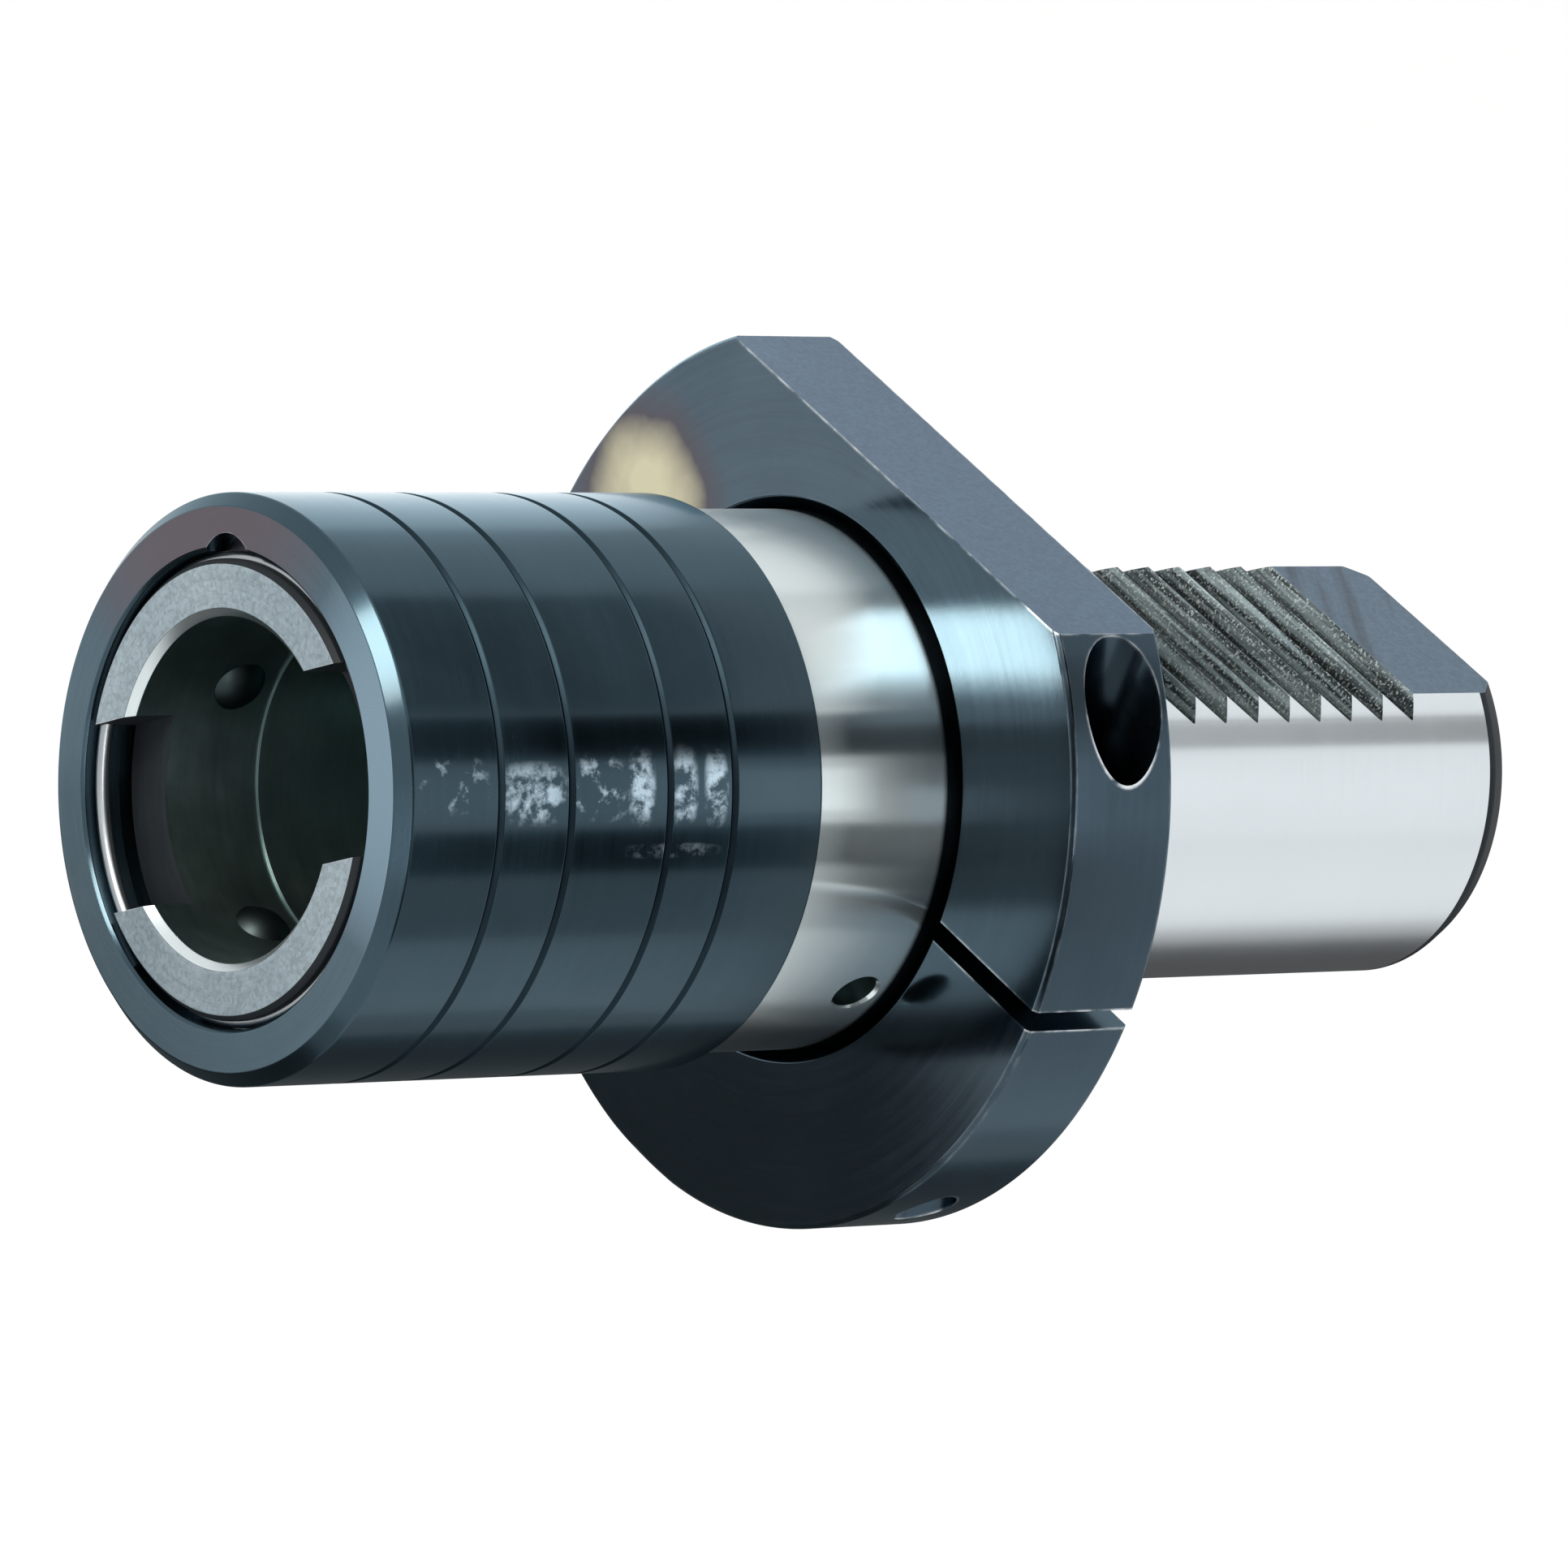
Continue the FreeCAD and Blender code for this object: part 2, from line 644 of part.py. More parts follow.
def make_spring(name, start, length, radius, wide, thick, turns):
    # A coil of flat wire about the axis, from its front seat to its rear seat
    body = new_body(name)
    sketch = new_sketch(body, "XY_Plane", name + "_wire")
    draw_rectangle(sketch, f"{start} + touch_gap", f"{start} + touch_gap + {thick}",
                   f"{radius} - {wide} / 2", f"{radius} + {wide} / 2")
    coil = body.newObject("PartDesign::AdditiveHelix", name + "_coil")
    coil.Profile = sketch
    coil.ReferenceAxis = (sketch, ["H_Axis"])
    coil.Mode = "height-turns-angle"
    coil.setExpression("Height", bound(f"{length} - {thick} - 2 * touch_gap"))
    coil.setExpression("Turns", bound(turns))
    body.Tip = coil
    return body


def make_ball(index):
    ball = doc.addObject("Part::Sphere", f"lock_ball_{index + 1}")
    ball.Label = f"lock_ball_{index + 1}"
    ball.setExpression("Radius", bound("ball_radius"))
    angle = f"(slot_angle + ball_spread + {index} * 360 / ball_count)"
    ball.setExpression("Placement.Base.x", bound("ball_place"))
    ball.setExpression("Placement.Base.y", bound(f"-ball_rest * sin({angle})"))
    ball.setExpression("Placement.Base.z", bound(f"ball_rest * cos({angle})"))
    return ball


def make_washer():
    return turned("tail_washer", [
        ("washer_front", "stud_radius + running_gap"),
        ("washer_front", "shank_bore - washer_gap"),
        ("nut_front", "shank_bore - washer_gap"),
        ("nut_front", "stud_radius + running_gap"),
    ])


def make_lock_nut():
    # Turned with its corners rounded off, then cut to a hexagon
    corner = "shank_bore - nut_gap"
    blank = turned("lock_nut_turning", [
        ("nut_front", "stud_radius + seat_gap"),
        ("nut_front", corner + " - nut_edge"),
        ("nut_front + nut_edge / 2", corner),
        ("nut_rear - nut_edge / 2", corner),
        ("nut_rear", corner + " - nut_edge"),
        ("nut_rear", "stud_radius + seat_gap"),
    ])
    flats = hexagon("lock_nut_flats", "2 * (shank_bore - nut_gap) * cos(30)", "nut_thick",
                    {"x": "nut_front"}, along_x)
    nut = doc.addObject("Part::Common", "lock_nut_common")
    nut.Base = blank
    nut.Tool = flats
    nut.Label = "lock_nut"
    return nut


sub_parts = [
    make_holder(),
    make_clamp_screw(),
    make_ring("flange_seal", "seal_floor + seal_wire + touch_gap", "seal_radius", "seal_wire"),
    make_guide_tube(),
    make_drive_bush(),
    make_drive_key("drive_key_1", 1),
    make_drive_key("drive_key_2", -1),
    make_shank_plug(),
    make_ring("plug_seal", "(plug_front + plug_rear) / 2", "plug_bore - plug_seal_wire - seat_gap",
              "plug_seal_wire"),
    make_spindle(),
    make_ring("retaining_ring", "ring_place", "spindle_radius", "ring_wire", "ring_gap_angle"),
    make_spring("push_spring", "web_rear", "push_spring_length", "push_spring_radius",
                "push_spring_wide", "push_spring_thick", "push_spring_turns"),
    make_spring("pull_spring", "spring_seat", "pull_spring_length", "pull_spring_radius",
                "pull_spring_wide", "pull_spring_thick", "pull_spring_turns"),
    make_washer(),
    make_lock_nut(),
    make_release_sleeve(),
    make_spring("sleeve_spring", "chamber_face", "sleeve_spring_length", "sleeve_spring_radius",
                "sleeve_spring_wide", "sleeve_spring_thick", "sleeve_spring_turns"),
]
sub_parts += [make_ball(index) for index in range(sizes["ball_count"])]

doc.recompute()

for item in doc.Objects:
    if "Invalid" in item.State or "Error" in item.State:
        raise RuntimeError(f"{item.Label} did not build: {item.State}")
for item in sub_parts:
    if item.Shape.isNull() or not item.Shape.isValid():
        raise RuntimeError(f"{item.Label} has no valid shape")

os.makedirs("parts", exist_ok=True)
for item in sub_parts:
    box = item.Shape.BoundBox
    print(f"{item.Label}: {len(item.Shape.Solids)} solid, {item.Shape.Volume:.0f} mm3, "
          f"x {box.XMin:.2f} to {box.XMax:.2f}")
    item.Shape.exportStep(os.path.join("parts", item.Label + ".step"))
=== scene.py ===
import math

import bmesh
import bpy
import numpy as np
from mathutils import Matrix, Vector


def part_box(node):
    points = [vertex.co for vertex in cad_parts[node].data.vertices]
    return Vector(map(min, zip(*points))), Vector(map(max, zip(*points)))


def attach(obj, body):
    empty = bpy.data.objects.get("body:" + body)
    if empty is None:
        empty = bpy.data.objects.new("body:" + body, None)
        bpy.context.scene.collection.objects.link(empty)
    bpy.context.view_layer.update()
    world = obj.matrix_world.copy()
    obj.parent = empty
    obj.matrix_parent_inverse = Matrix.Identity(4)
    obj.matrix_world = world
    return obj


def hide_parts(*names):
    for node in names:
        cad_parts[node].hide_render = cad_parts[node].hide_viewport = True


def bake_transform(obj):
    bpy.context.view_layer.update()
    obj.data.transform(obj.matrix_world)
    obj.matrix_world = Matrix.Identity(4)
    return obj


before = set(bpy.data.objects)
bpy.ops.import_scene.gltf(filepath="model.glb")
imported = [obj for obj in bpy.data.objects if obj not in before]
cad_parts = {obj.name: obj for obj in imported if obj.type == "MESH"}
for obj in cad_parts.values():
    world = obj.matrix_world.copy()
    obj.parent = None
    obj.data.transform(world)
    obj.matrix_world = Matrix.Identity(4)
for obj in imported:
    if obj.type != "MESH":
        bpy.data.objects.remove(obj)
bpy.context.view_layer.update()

mm = 0.001
print("frame loaded")


def meshPiece(name, points, faces):
    # an object at the origin from points in millimetres, with its faces turned outwards
    mesh = bpy.data.meshes.new(name)
    mesh.from_pydata((points * mm).tolist(), [], faces)
    work = bmesh.new()
    work.from_mesh(mesh)
    bmesh.ops.recalc_face_normals(work, faces=work.faces)
    work.to_mesh(mesh)
    work.free()
    piece = bpy.data.objects.new(name, mesh)
    bpy.context.collection.objects.link(piece)
    return piece


def skin(name, rings, loop=False):
    # rings is an array (rows, around, 3): quads join each point to the next one round and the next row,
    # and the rows close into a loop, or one flat face shuts each end
    rows, around = rings.shape[:2]
    row = np.arange(rows if loop else rows - 1)[:, None]
    step = np.arange(around)[None, :]
    here, above = row * around, (row + 1) % rows * around
    right = (step + 1) % around
    quads = np.stack([here + step, here + right, above + right, above + step], axis=-1).reshape(-1, 4).tolist()
    if not loop:
        quads += [list(range(around)), list(range((rows - 1) * around, rows * around))]
    return meshPiece(name, rings.reshape(-1, 3), quads)


def softCorners(outline, loop=True, steps=5):
    # outline rows are (along, radius, corner): each corner becomes a short parabola that leaves one edge
    # and meets the next at the corner's distance from the sharp point
    outline = np.array(outline, float)
    point, reach = outline[:, :2], outline[:, 2:3]
    before, after = np.roll(point, 1, axis=0), np.roll(point, -1, axis=0)
    toBefore = (before - point) / np.linalg.norm(before - point, axis=1, keepdims=True)
    toAfter = (after - point) / np.linalg.norm(after - point, axis=1, keepdims=True)
    if not loop:
        reach[0] = reach[-1] = 0
    s = np.linspace(0, 1, steps)[None, :, None]
    start, end = (point + toBefore * reach)[:, None], (point + toAfter * reach)[:, None]
    curve = (1 - s) ** 2 * start + 2 * s * (1 - s) * point[:, None] + s ** 2 * end
    curve = curve.reshape(-1, 2)
    keep = np.linalg.norm(curve - np.roll(curve, 1, axis=0), axis=1) > 1e-4
    return curve[keep]


def lathe(name, outline, loop=True, around=320, steps=5):
    # the outline (along, radius) carried round the X axis: y = -radius sin a, z = radius cos a
    profile = softCorners(outline, loop, steps)
    a = np.linspace(0, 2 * np.pi, around, endpoint=False)[None, :]
    x, radius = profile[:, :1], profile[:, 1:]
    rings = np.stack([x + 0 * a, -radius * np.sin(a), radius * np.cos(a)], axis=-1)
    return skin(name, rings, loop)


def drillTool(outline, x, angle, around=96):
    # a stepped drill about a line square to the axis: outline rows are (height, radius) along the line,
    # whose direction is angle degrees from +Z towards -Y
    outline = np.array(outline, float)
    a = np.linspace(0, 2 * np.pi, around, endpoint=False)[None, :]
    height, radius = outline[:, :1] + 0 * a, outline[:, 1:] * np.ones_like(a)
    turn = math.radians(angle)
    up = np.array([0, -math.sin(turn), math.cos(turn)])
    side = np.array([0, math.cos(turn), math.sin(turn)])
    rings = (np.array([x, 0, 0]) + height[..., None] * up + (radius * np.cos(a))[..., None] * np.array([1, 0, 0])
             + (radius * np.sin(a))[..., None] * side)
    return skin("cutter", rings)


def barTool(outline, low, high, axis="y"):
    # a flat outline carried straight along one axis, from low to high
    outline = np.array(outline, float)
    ends = []
    for level in (low, high):
        flat = np.full(len(outline), float(level))
        columns = {"x": (flat, outline[:, 0], outline[:, 1]), "y": (outline[:, 0], flat, outline[:, 1]),
                   "z": (outline[:, 0], outline[:, 1], flat)}[axis]
        ends.append(np.stack(columns, axis=-1))
    return skin("cutter", np.array(ends))


def roundX(points, angle):
    # turns a bar tool's points about the axis by angle degrees from +Z towards -Y
    turn = math.radians(angle)
    y, z = points[..., 1], points[..., 2]
    return np.stack([points[..., 0], y * math.cos(turn) - z * math.sin(turn),
                     y * math.sin(turn) + z * math.cos(turn)], axis=-1)


def carve(piece, tools):
    # takes each tool away from the piece, and leaves plain mesh behind
    for tool in tools:
        cut = piece.modifiers.new("cut", "BOOLEAN")
        cut.operation, cut.solver, cut.object = "DIFFERENCE", "EXACT", tool
    view = bpy.context.evaluated_depsgraph_get()
    solid = bpy.data.meshes.new_from_object(piece.evaluated_get(view))
    piece.modifiers.clear()
    old, piece.data = piece.data, solid
    bpy.data.meshes.remove(old)
    for tool in tools:
        bpy.data.objects.remove(tool)
    return piece


def finishPiece(piece, body, nodes, materials, chooser=None, sharp=30):
    # smooth faces with sharp edges kept, materials by face, and the CAD node that the piece stands for
    mesh = piece.data
    mesh.materials.clear()
    for material in materials:
        mesh.materials.append(material)
    count = len(mesh.polygons)
    if chooser:
        centre, normal = np.empty(count * 3), np.empty(count * 3)
        mesh.polygons.foreach_get("center", centre)
        mesh.polygons.foreach_get("normal", normal)
        picks = chooser(centre.reshape(-1, 3) / mm, normal.reshape(-1, 3))
        mesh.polygons.foreach_set("material_index", picks.astype(np.int32))
    else:
        mesh.polygons.foreach_set("material_index", np.zeros(count, np.int32))
    mesh.polygons.foreach_set("use_smooth", np.ones(count, bool))
    mesh.set_sharp_from_angle(angle=math.radians(sharp))
    mesh.update()
    even = piece.modifiers.new("even normals", "WEIGHTED_NORMAL")
    even.keep_sharp = True
    if body:
        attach(piece, body)
    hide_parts(*nodes)
    return piece


def addNode(tree, kind, inputs=None, **settings):
    node = tree.nodes.new(kind)
    for key, value in settings.items():
        setattr(node, key, value)
    for key, value in (inputs or {}).items():
        if isinstance(value, bpy.types.NodeSocket):
            tree.links.new(value, node.inputs[key])
        else:
            node.inputs[key].default_value = value
    return node


def mathNode(tree, operation, *values, clamp=False):
    node = addNode(tree, "ShaderNodeMath", dict(enumerate(values)), operation=operation, use_clamp=clamp)
    return node.outputs[0]


def mixColour(tree, factor, first, second, blend="MIX"):
    node = addNode(tree, "ShaderNodeMix", {0: factor, 6: first, 7: second}, data_type="RGBA", blend_type=blend)
    return node.outputs[2]


def remap(tree, value, low, high, newLow=0.0, newHigh=1.0):
    node = addNode(tree, "ShaderNodeMapRange", {0: value, 1: low, 2: high, 3: newLow, 4: newHigh})
    return node.outputs[0]


def objectPlace(tree):
    return addNode(tree, "ShaderNodeTexCoord").outputs["Object"]


def splitPlace(tree, place):
    return addNode(tree, "ShaderNodeSeparateXYZ", {0: place}).outputs


def noise(tree, place, scale, detail, **more):
    node = addNode(tree, "ShaderNodeTexNoise", {"Vector": place, "Scale": scale, "Detail": detail, **more})
    return node.outputs[0]


def scaleColour(tree, colour, factor):
    return addNode(tree, "ShaderNodeVectorMath", {0: colour, 3: factor}, operation="SCALE").outputs[0]


def square(tree, value):
    return mathNode(tree, "MULTIPLY", value, value)


def startGroup(name, inputs, outputs):
    group = bpy.data.node_groups.new(name, "ShaderNodeTree")
    for label, value in inputs.items():
        socket = group.interface.new_socket(label, in_out="INPUT", socket_type="NodeSocketFloat")
        socket.default_value = value
    for label in outputs:
        group.interface.new_socket(label, in_out="OUTPUT", socket_type="NodeSocketFloat")
    return group, group.nodes.new("NodeGroupInput").outputs, group.nodes.new("NodeGroupOutput").inputs


def useGroup(tree, group, **values):
    node = tree.nodes.new("ShaderNodeGroup")
    node.node_tree = group
    for label, value in values.items():
        if isinstance(value, bpy.types.NodeSocket):
            tree.links.new(value, node.inputs[label])
        else:
            node.inputs[label].default_value = value
    return node.outputs


def ringSpace(tree, stretch):
    # axial place, radius and a slow share of the angle, so that noise read there runs in rings
    part = splitPlace(tree, objectPlace(tree))
    radius = mathNode(tree, "SQRT", mathNode(tree, "ADD", square(tree, part[1]), square(tree, part[2])))
    angle = mathNode(tree, "ARCTAN2", part[1], part[2])
    slow = mathNode(tree, "MULTIPLY", mathNode(tree, "ABSOLUTE", angle), stretch)
    return addNode(tree, "ShaderNodeCombineXYZ", {0: part[0], 1: radius, 2: slow}).outputs[0]


# tool marks that run round the axis, fine and coarse
turnedGrain, given, out = startGroup("turned grain", {"Fine": 9000.0, "Coarse": 1400.0, "Stretch": 0.0006}, ["Grain"])
space = ringSpace(turnedGrain, given["Stretch"])
fine = noise(turnedGrain, space, given["Fine"], 2.0)
coarse = noise(turnedGrain, space, given["Coarse"], 3.0)
turnedGrain.links.new(mathNode(turnedGrain, "ADD", mathNode(turnedGrain, "MULTIPLY", fine, 0.55),
                               mathNode(turnedGrain, "MULTIPLY", coarse, 0.45)), out["Grain"])

# bright bare metal where an edge has rubbed, partly a painted highlight that stands in for the glint of rounded
# edges: how far the rounded normal leaves the true one, broken up by noise
edgeWearGlint, given, out = startGroup("edge wear and glint", {"Width": 0.0003, "Amount": 1.0, "Break": 400.0}, ["Wear"])
rounded = addNode(edgeWearGlint, "ShaderNodeBevel", {"Radius": given["Width"]}, samples=6).outputs[0]
flatNormal = addNode(edgeWearGlint, "ShaderNodeNewGeometry").outputs["Normal"]
agree = addNode(edgeWearGlint, "ShaderNodeVectorMath", {0: rounded, 1: flatNormal}, operation="DOT_PRODUCT")
patchy = remap(edgeWearGlint, noise(edgeWearGlint, objectPlace(edgeWearGlint), given["Break"], 4.0), 0.38, 0.6)
bare = remap(edgeWearGlint, mathNode(edgeWearGlint, "SUBTRACT", 1.0, agree.outputs["Value"]), 0.01, 0.09)
bare = mathNode(edgeWearGlint, "MULTIPLY", bare, patchy)
edgeWearGlint.links.new(mathNode(edgeWearGlint, "MULTIPLY", bare, given["Amount"], clamp=True), out["Wear"])

# slow blotches of oil and handling
handled, given, out = startGroup("handling", {"Size": 60.0}, ["Blotch"])
blotch = noise(handled, objectPlace(handled), given["Size"], 5.0, Roughness=0.6)
handled.links.new(remap(handled, blotch, 0.3, 0.7), out["Blotch"])

# pinprick sparkle of etched or blasted metal
etched, given, out = startGroup("etched", {"Size": 2600.0}, ["Spark"])
cells = addNode(etched, "ShaderNodeTexVoronoi", {"Vector": objectPlace(etched), "Scale": given["Size"]})
spark = addNode(etched, "ShaderNodeSeparateColor", {0: cells.outputs["Color"]}).outputs[0]
etched.links.new(spark, out["Spark"])


def grainTangent(tree):
    # metal cut in rings blurs its reflections across the rings: along the axis on a barrel, outwards on a face
    place = addNode(tree, "ShaderNodeTexCoord")
    part = splitPlace(tree, place.outputs["Object"])
    facing = splitPlace(tree, place.outputs["Normal"])[0]
    flatness = remap(tree, mathNode(tree, "ABSOLUTE", facing), 0.5, 0.9)
    outward = addNode(tree, "ShaderNodeCombineXYZ", {0: 0.0, 1: part[1], 2: part[2]}).outputs[0]
    unit = addNode(tree, "ShaderNodeVectorMath", {0: outward}, operation="NORMALIZE").outputs[0]
    blend = addNode(tree, "ShaderNodeMix", {0: flatness, 4: (1.0, 0.0, 0.0), 5: unit}, data_type="VECTOR")
    return addNode(tree, "ShaderNodeVectorTransform", {0: blend.outputs[1]}, vector_type="VECTOR",
                   convert_from="OBJECT", convert_to="WORLD").outputs[0]


bareEdgeGlint = (0.62, 0.67, 0.7, 1)


def metal(name, colour, tint, rough, rings=0.0, grain=0.3, wear=0.0, width=0.0003, sparkle=0.0, bump=0.02,
          blotch=0.12, metallic=1.0, oil=0.0, edgeTint=None, extra=None):
    # colour and tint are mixed by handling marks; rings is the anisotropy of the turned grain, wear and width
    # are for rubbed edges, oil is a thin coat, and extra adds the marks of one surface
    material = bpy.data.materials.new(name)
    material.use_nodes = True
    tree = material.node_tree
    shader = tree.nodes["Principled BSDF"]
    grainValue = useGroup(tree, turnedGrain)["Grain"]
    blotchValue = useGroup(tree, handled)["Blotch"]
    base = mixColour(tree, blotchValue, (*colour, 1), (*tint, 1))
    shade = remap(tree, grainValue, 0.3, 0.7, 1 - grain, 1 + grain)
    base = scaleColour(tree, base, shade)
    roughness = mathNode(tree, "ADD", remap(tree, blotchValue, 0, 1, rough - blotch / 2, rough + blotch / 2),
                         remap(tree, grainValue, 0.3, 0.7, -grain / 4, grain / 4))
    height = grainValue
    if sparkle:
        spark = useGroup(tree, etched)["Spark"]
        base = scaleColour(tree, base, remap(tree, spark, 0, 1, 1 - sparkle, 1 + sparkle))
        height = mathNode(tree, "ADD", grainValue, mathNode(tree, "MULTIPLY", spark, 1.5))
    if extra:
        base, roughness = extra(tree, base, roughness)
    if wear:
        wornGlint = useGroup(tree, edgeWearGlint, Amount=wear, Width=width)["Wear"]
        # worn edges mixed to bare metal: real wear, and also a painted highlight along the edge
        base = mixColour(tree, wornGlint, base, bareEdgeGlint)
    tree.links.new(base, shader.inputs["Base Color"])
    tree.links.new(roughness, shader.inputs["Roughness"])
    shader.inputs["Metallic"].default_value = metallic
    if edgeTint:
        shader.inputs["Specular Tint"].default_value = edgeTint
    if oil:
        shader.inputs["Coat Weight"].default_value = oil
        shader.inputs["Coat Roughness"].default_value = 0.12
    if rings:
        shader.inputs["Anisotropic"].default_value = rings
        tree.links.new(grainTangent(tree), shader.inputs["Tangent"])
    bumpNode = addNode(tree, "ShaderNodeBump", {"Strength": bump, "Distance": 0.0002, "Height": height})
    tree.links.new(bumpNode.outputs[0], shader.inputs["Normal"])
    return material


def spotMask(tree, x, angle, halfLength, halfAngle, soft=0.5):
    # 1 inside an oval on the barrel at a place along the axis (mm) and an angle from +Z towards -Y
    part = splitPlace(tree, objectPlace(tree))
    along = mathNode(tree, "DIVIDE", mathNode(tree, "SUBTRACT", part[0], x * mm), halfLength * mm)
    turn = mathNode(tree, "ARCTAN2", mathNode(tree, "MULTIPLY", part[1], -1.0), part[2])
    around = mathNode(tree, "DIVIDE", mathNode(tree, "SUBTRACT", turn, math.radians(angle)), math.radians(halfAngle))
    far = mathNode(tree, "ADD", mathNode(tree, "POWER", mathNode(tree, "ABSOLUTE", along), 3.0),
                   mathNode(tree, "POWER", mathNode(tree, "ABSOLUTE", around), 3.0))
    return remap(tree, far, 1.0, 1.0 - soft)


print("shader tools ready")


# rubbed patches, painted pale as a broken highlight: place along the axis, angle from +Z towards -Y, half length,
# half angle, and how sparse
scuffHighlights = {
    "colour": (0.5, 0.64, 0.74, 1), "strength": 0.85, "soft": 0.9,
    "patches": ((-71.6, 57.5, 4.2, 6.0, 0.53), (-62.6, 59.5, 4.2, 6.5, 0.47), (-55.2, 58.5, 4.0, 7.0, 0.51),
                (-50.2, 58.5, 1.7, 8.0, 0.45), (-45.2, 58.5, 1.6, 8.5, 0.46), (-41.6, 59.0, 1.5, 8.0, 0.46),
                (-46.5, 71.0, 6.0, 1.6, 0.5)),
}


def sleeveScuffHighlights(tree, base, roughness):
    # rubbed speckle between the grip grooves, where a wrench or a hand has slid round, painted pale as the broken
    # highlight of a bright light
    place = objectPlace(tree)
    crumbs = mathNode(tree, "MULTIPLY", noise(tree, place, 700.0, 9.0, Roughness=0.7), 0.6)
    broad = mathNode(tree, "MULTIPLY", noise(tree, place, 260.0, 3.0, Distortion=1.5), 0.4)
    crumbs = mathNode(tree, "ADD", crumbs, broad)
    total = None
    for x, angle, length, width, sparse in scuffHighlights["patches"]:
        spot = spotMask(tree, x, angle, length, width, scuffHighlights["soft"])
        spot = mathNode(tree, "MULTIPLY", spot, remap(tree, crumbs, sparse, sparse + 0.12))
        total = spot if total is None else mathNode(tree, "MAXIMUM", total, spot)
    return mixColour(tree, mathNode(tree, "MULTIPLY", total, scuffHighlights["strength"]), base, scuffHighlights["colour"]), roughness


def faceReflectionPaint(tree, base, roughness):
    # the sleeve's front face, a painted reflection: brown violet towards the far top, paler towards the viewer
    warm = spotMask(tree, -77.4, -38, 12, 48, 1.0)
    pale = spotMask(tree, -77.4, 52, 12, 42, 1.0)
    base = mixColour(tree, mathNode(tree, "MULTIPLY", pale, 0.75), base, (0.27, 0.39, 0.48, 1))
    return mixColour(tree, mathNode(tree, "MULTIPLY", warm, 0.75), base, (0.13, 0.085, 0.095, 1)), roughness


def toothMarks(tree, base, roughness):
    # the milled teeth: painted light on the crests and painted shade in the roots, lines along each tooth, and bright
    # crumbs painted as glints
    place = objectPlace(tree)
    part = splitPlace(tree, place)
    # painted shade: darker towards the tooth roots, lighter towards the crests
    crestLight = remap(tree, part[2], 14.1 * mm, 16.0 * mm, 0.25, 1.25)
    across = mathNode(tree, "MULTIPLY", part[1], 0.03)
    drawn = addNode(tree, "ShaderNodeCombineXYZ", {0: part[0], 1: across, 2: part[2]})
    lines = remap(tree, noise(tree, drawn.outputs[0], 1700.0, 2.0), 0.38, 0.62, 0.3, 2.3)
    base = scaleColour(tree, base, mathNode(tree, "MULTIPLY", crestLight, lines))
    # painted glints: pale crumbs, more of them on the crests
    crumbs = remap(tree, noise(tree, place, 3600.0, 2.0), 0.54, 0.66)
    crumbs = mathNode(tree, "MULTIPLY", crumbs, remap(tree, crestLight, 0.3, 1.0, 0.2, 0.7))
    return mixColour(tree, crumbs, base, (0.6, 0.67, 0.66, 1)), roughness


def flatStreaks(tree, base, roughness):
    # long faint dark streaks that run aslant over the plain end of the shank's flat
    turned = addNode(tree, "ShaderNodeVectorRotate", {"Vector": objectPlace(tree), "Angle": 0.5}).outputs[0]
    drawn = addNode(tree, "ShaderNodeVectorMath", {0: turned, 1: (1.0, 0.06, 1.0)}, operation="MULTIPLY").outputs[0]
    streak = noise(tree, drawn, 420.0, 3.0)
    return scaleColour(tree, base, remap(tree, streak, 0.5, 0.72, 1.0, 0.4)), roughness


# the painted shade round the tube's foot: it fades out between each pair of places (mm)
cornerShade = {"colour": (0.012, 0.018, 0.022, 1), "along": (-13.6, -13.0), "outwards": (26.5, 25.8)}


def footShade(tree, base, roughness):
    # painted shade in the corner where the ground tube stands on the flange
    part = splitPlace(tree, objectPlace(tree))
    outward = addNode(tree, "ShaderNodeCombineXYZ", {0: 0.0, 1: part[1], 2: part[2]}).outputs[0]
    radius = addNode(tree, "ShaderNodeVectorMath", {0: outward}, operation="LENGTH").outputs["Value"]
    along = remap(tree, part[0], *[place * mm for place in cornerShade["along"]])
    outwards = remap(tree, radius, *[place * mm for place in cornerShade["outwards"]])
    return mixColour(tree, mathNode(tree, "MULTIPLY", along, outwards), base, cornerShade["colour"]), roughness


# a painted reflection of a warm light, in straw and violet: its middle and half widths on the face (mm)
warmReflection = {"y": 31.0, "z": 12.6, "halfWidth": 7.0, "halfHeight": 6.0,
          "violet": (0.1, 0.075, 0.085, 1), "straw": (0.66, 0.62, 0.42, 1)}


def warmReflectionPaint(tree, base, roughness):
    # painted reflection of a warm light, straw and violet, high on the far side of the flange's front face
    place = objectPlace(tree)
    part = splitPlace(tree, place)
    across = mathNode(tree, "DIVIDE", mathNode(tree, "SUBTRACT", part[1], warmReflection["y"] * mm), warmReflection["halfWidth"] * mm)
    up = mathNode(tree, "DIVIDE", mathNode(tree, "SUBTRACT", part[2], warmReflection["z"] * mm), warmReflection["halfHeight"] * mm)
    far = mathNode(tree, "ADD", square(tree, across), square(tree, up))
    far = mathNode(tree, "ADD", far, remap(tree, noise(tree, place, 90.0, 4.0), 0.3, 0.7, -0.5, 0.5))
    violet = mathNode(tree, "MULTIPLY", remap(tree, far, 3.6, 1.5), 0.75)
    straw = mathNode(tree, "MULTIPLY", remap(tree, far, 1.7, 0.0), 0.95)
    base = mixColour(tree, violet, base, warmReflection["violet"])
    return footShade(tree, mixColour(tree, straw, base, warmReflection["straw"]), roughness)


coldEdge = (0.72, 0.9, 1.0, 1)
blackSteel = metal("blackened steel", (0.03, 0.053, 0.073), (0.042, 0.07, 0.094), 0.22, rings=0.7, grain=0.08,
                   wear=1.0, width=0.00045, oil=0.25, edgeTint=coldEdge)
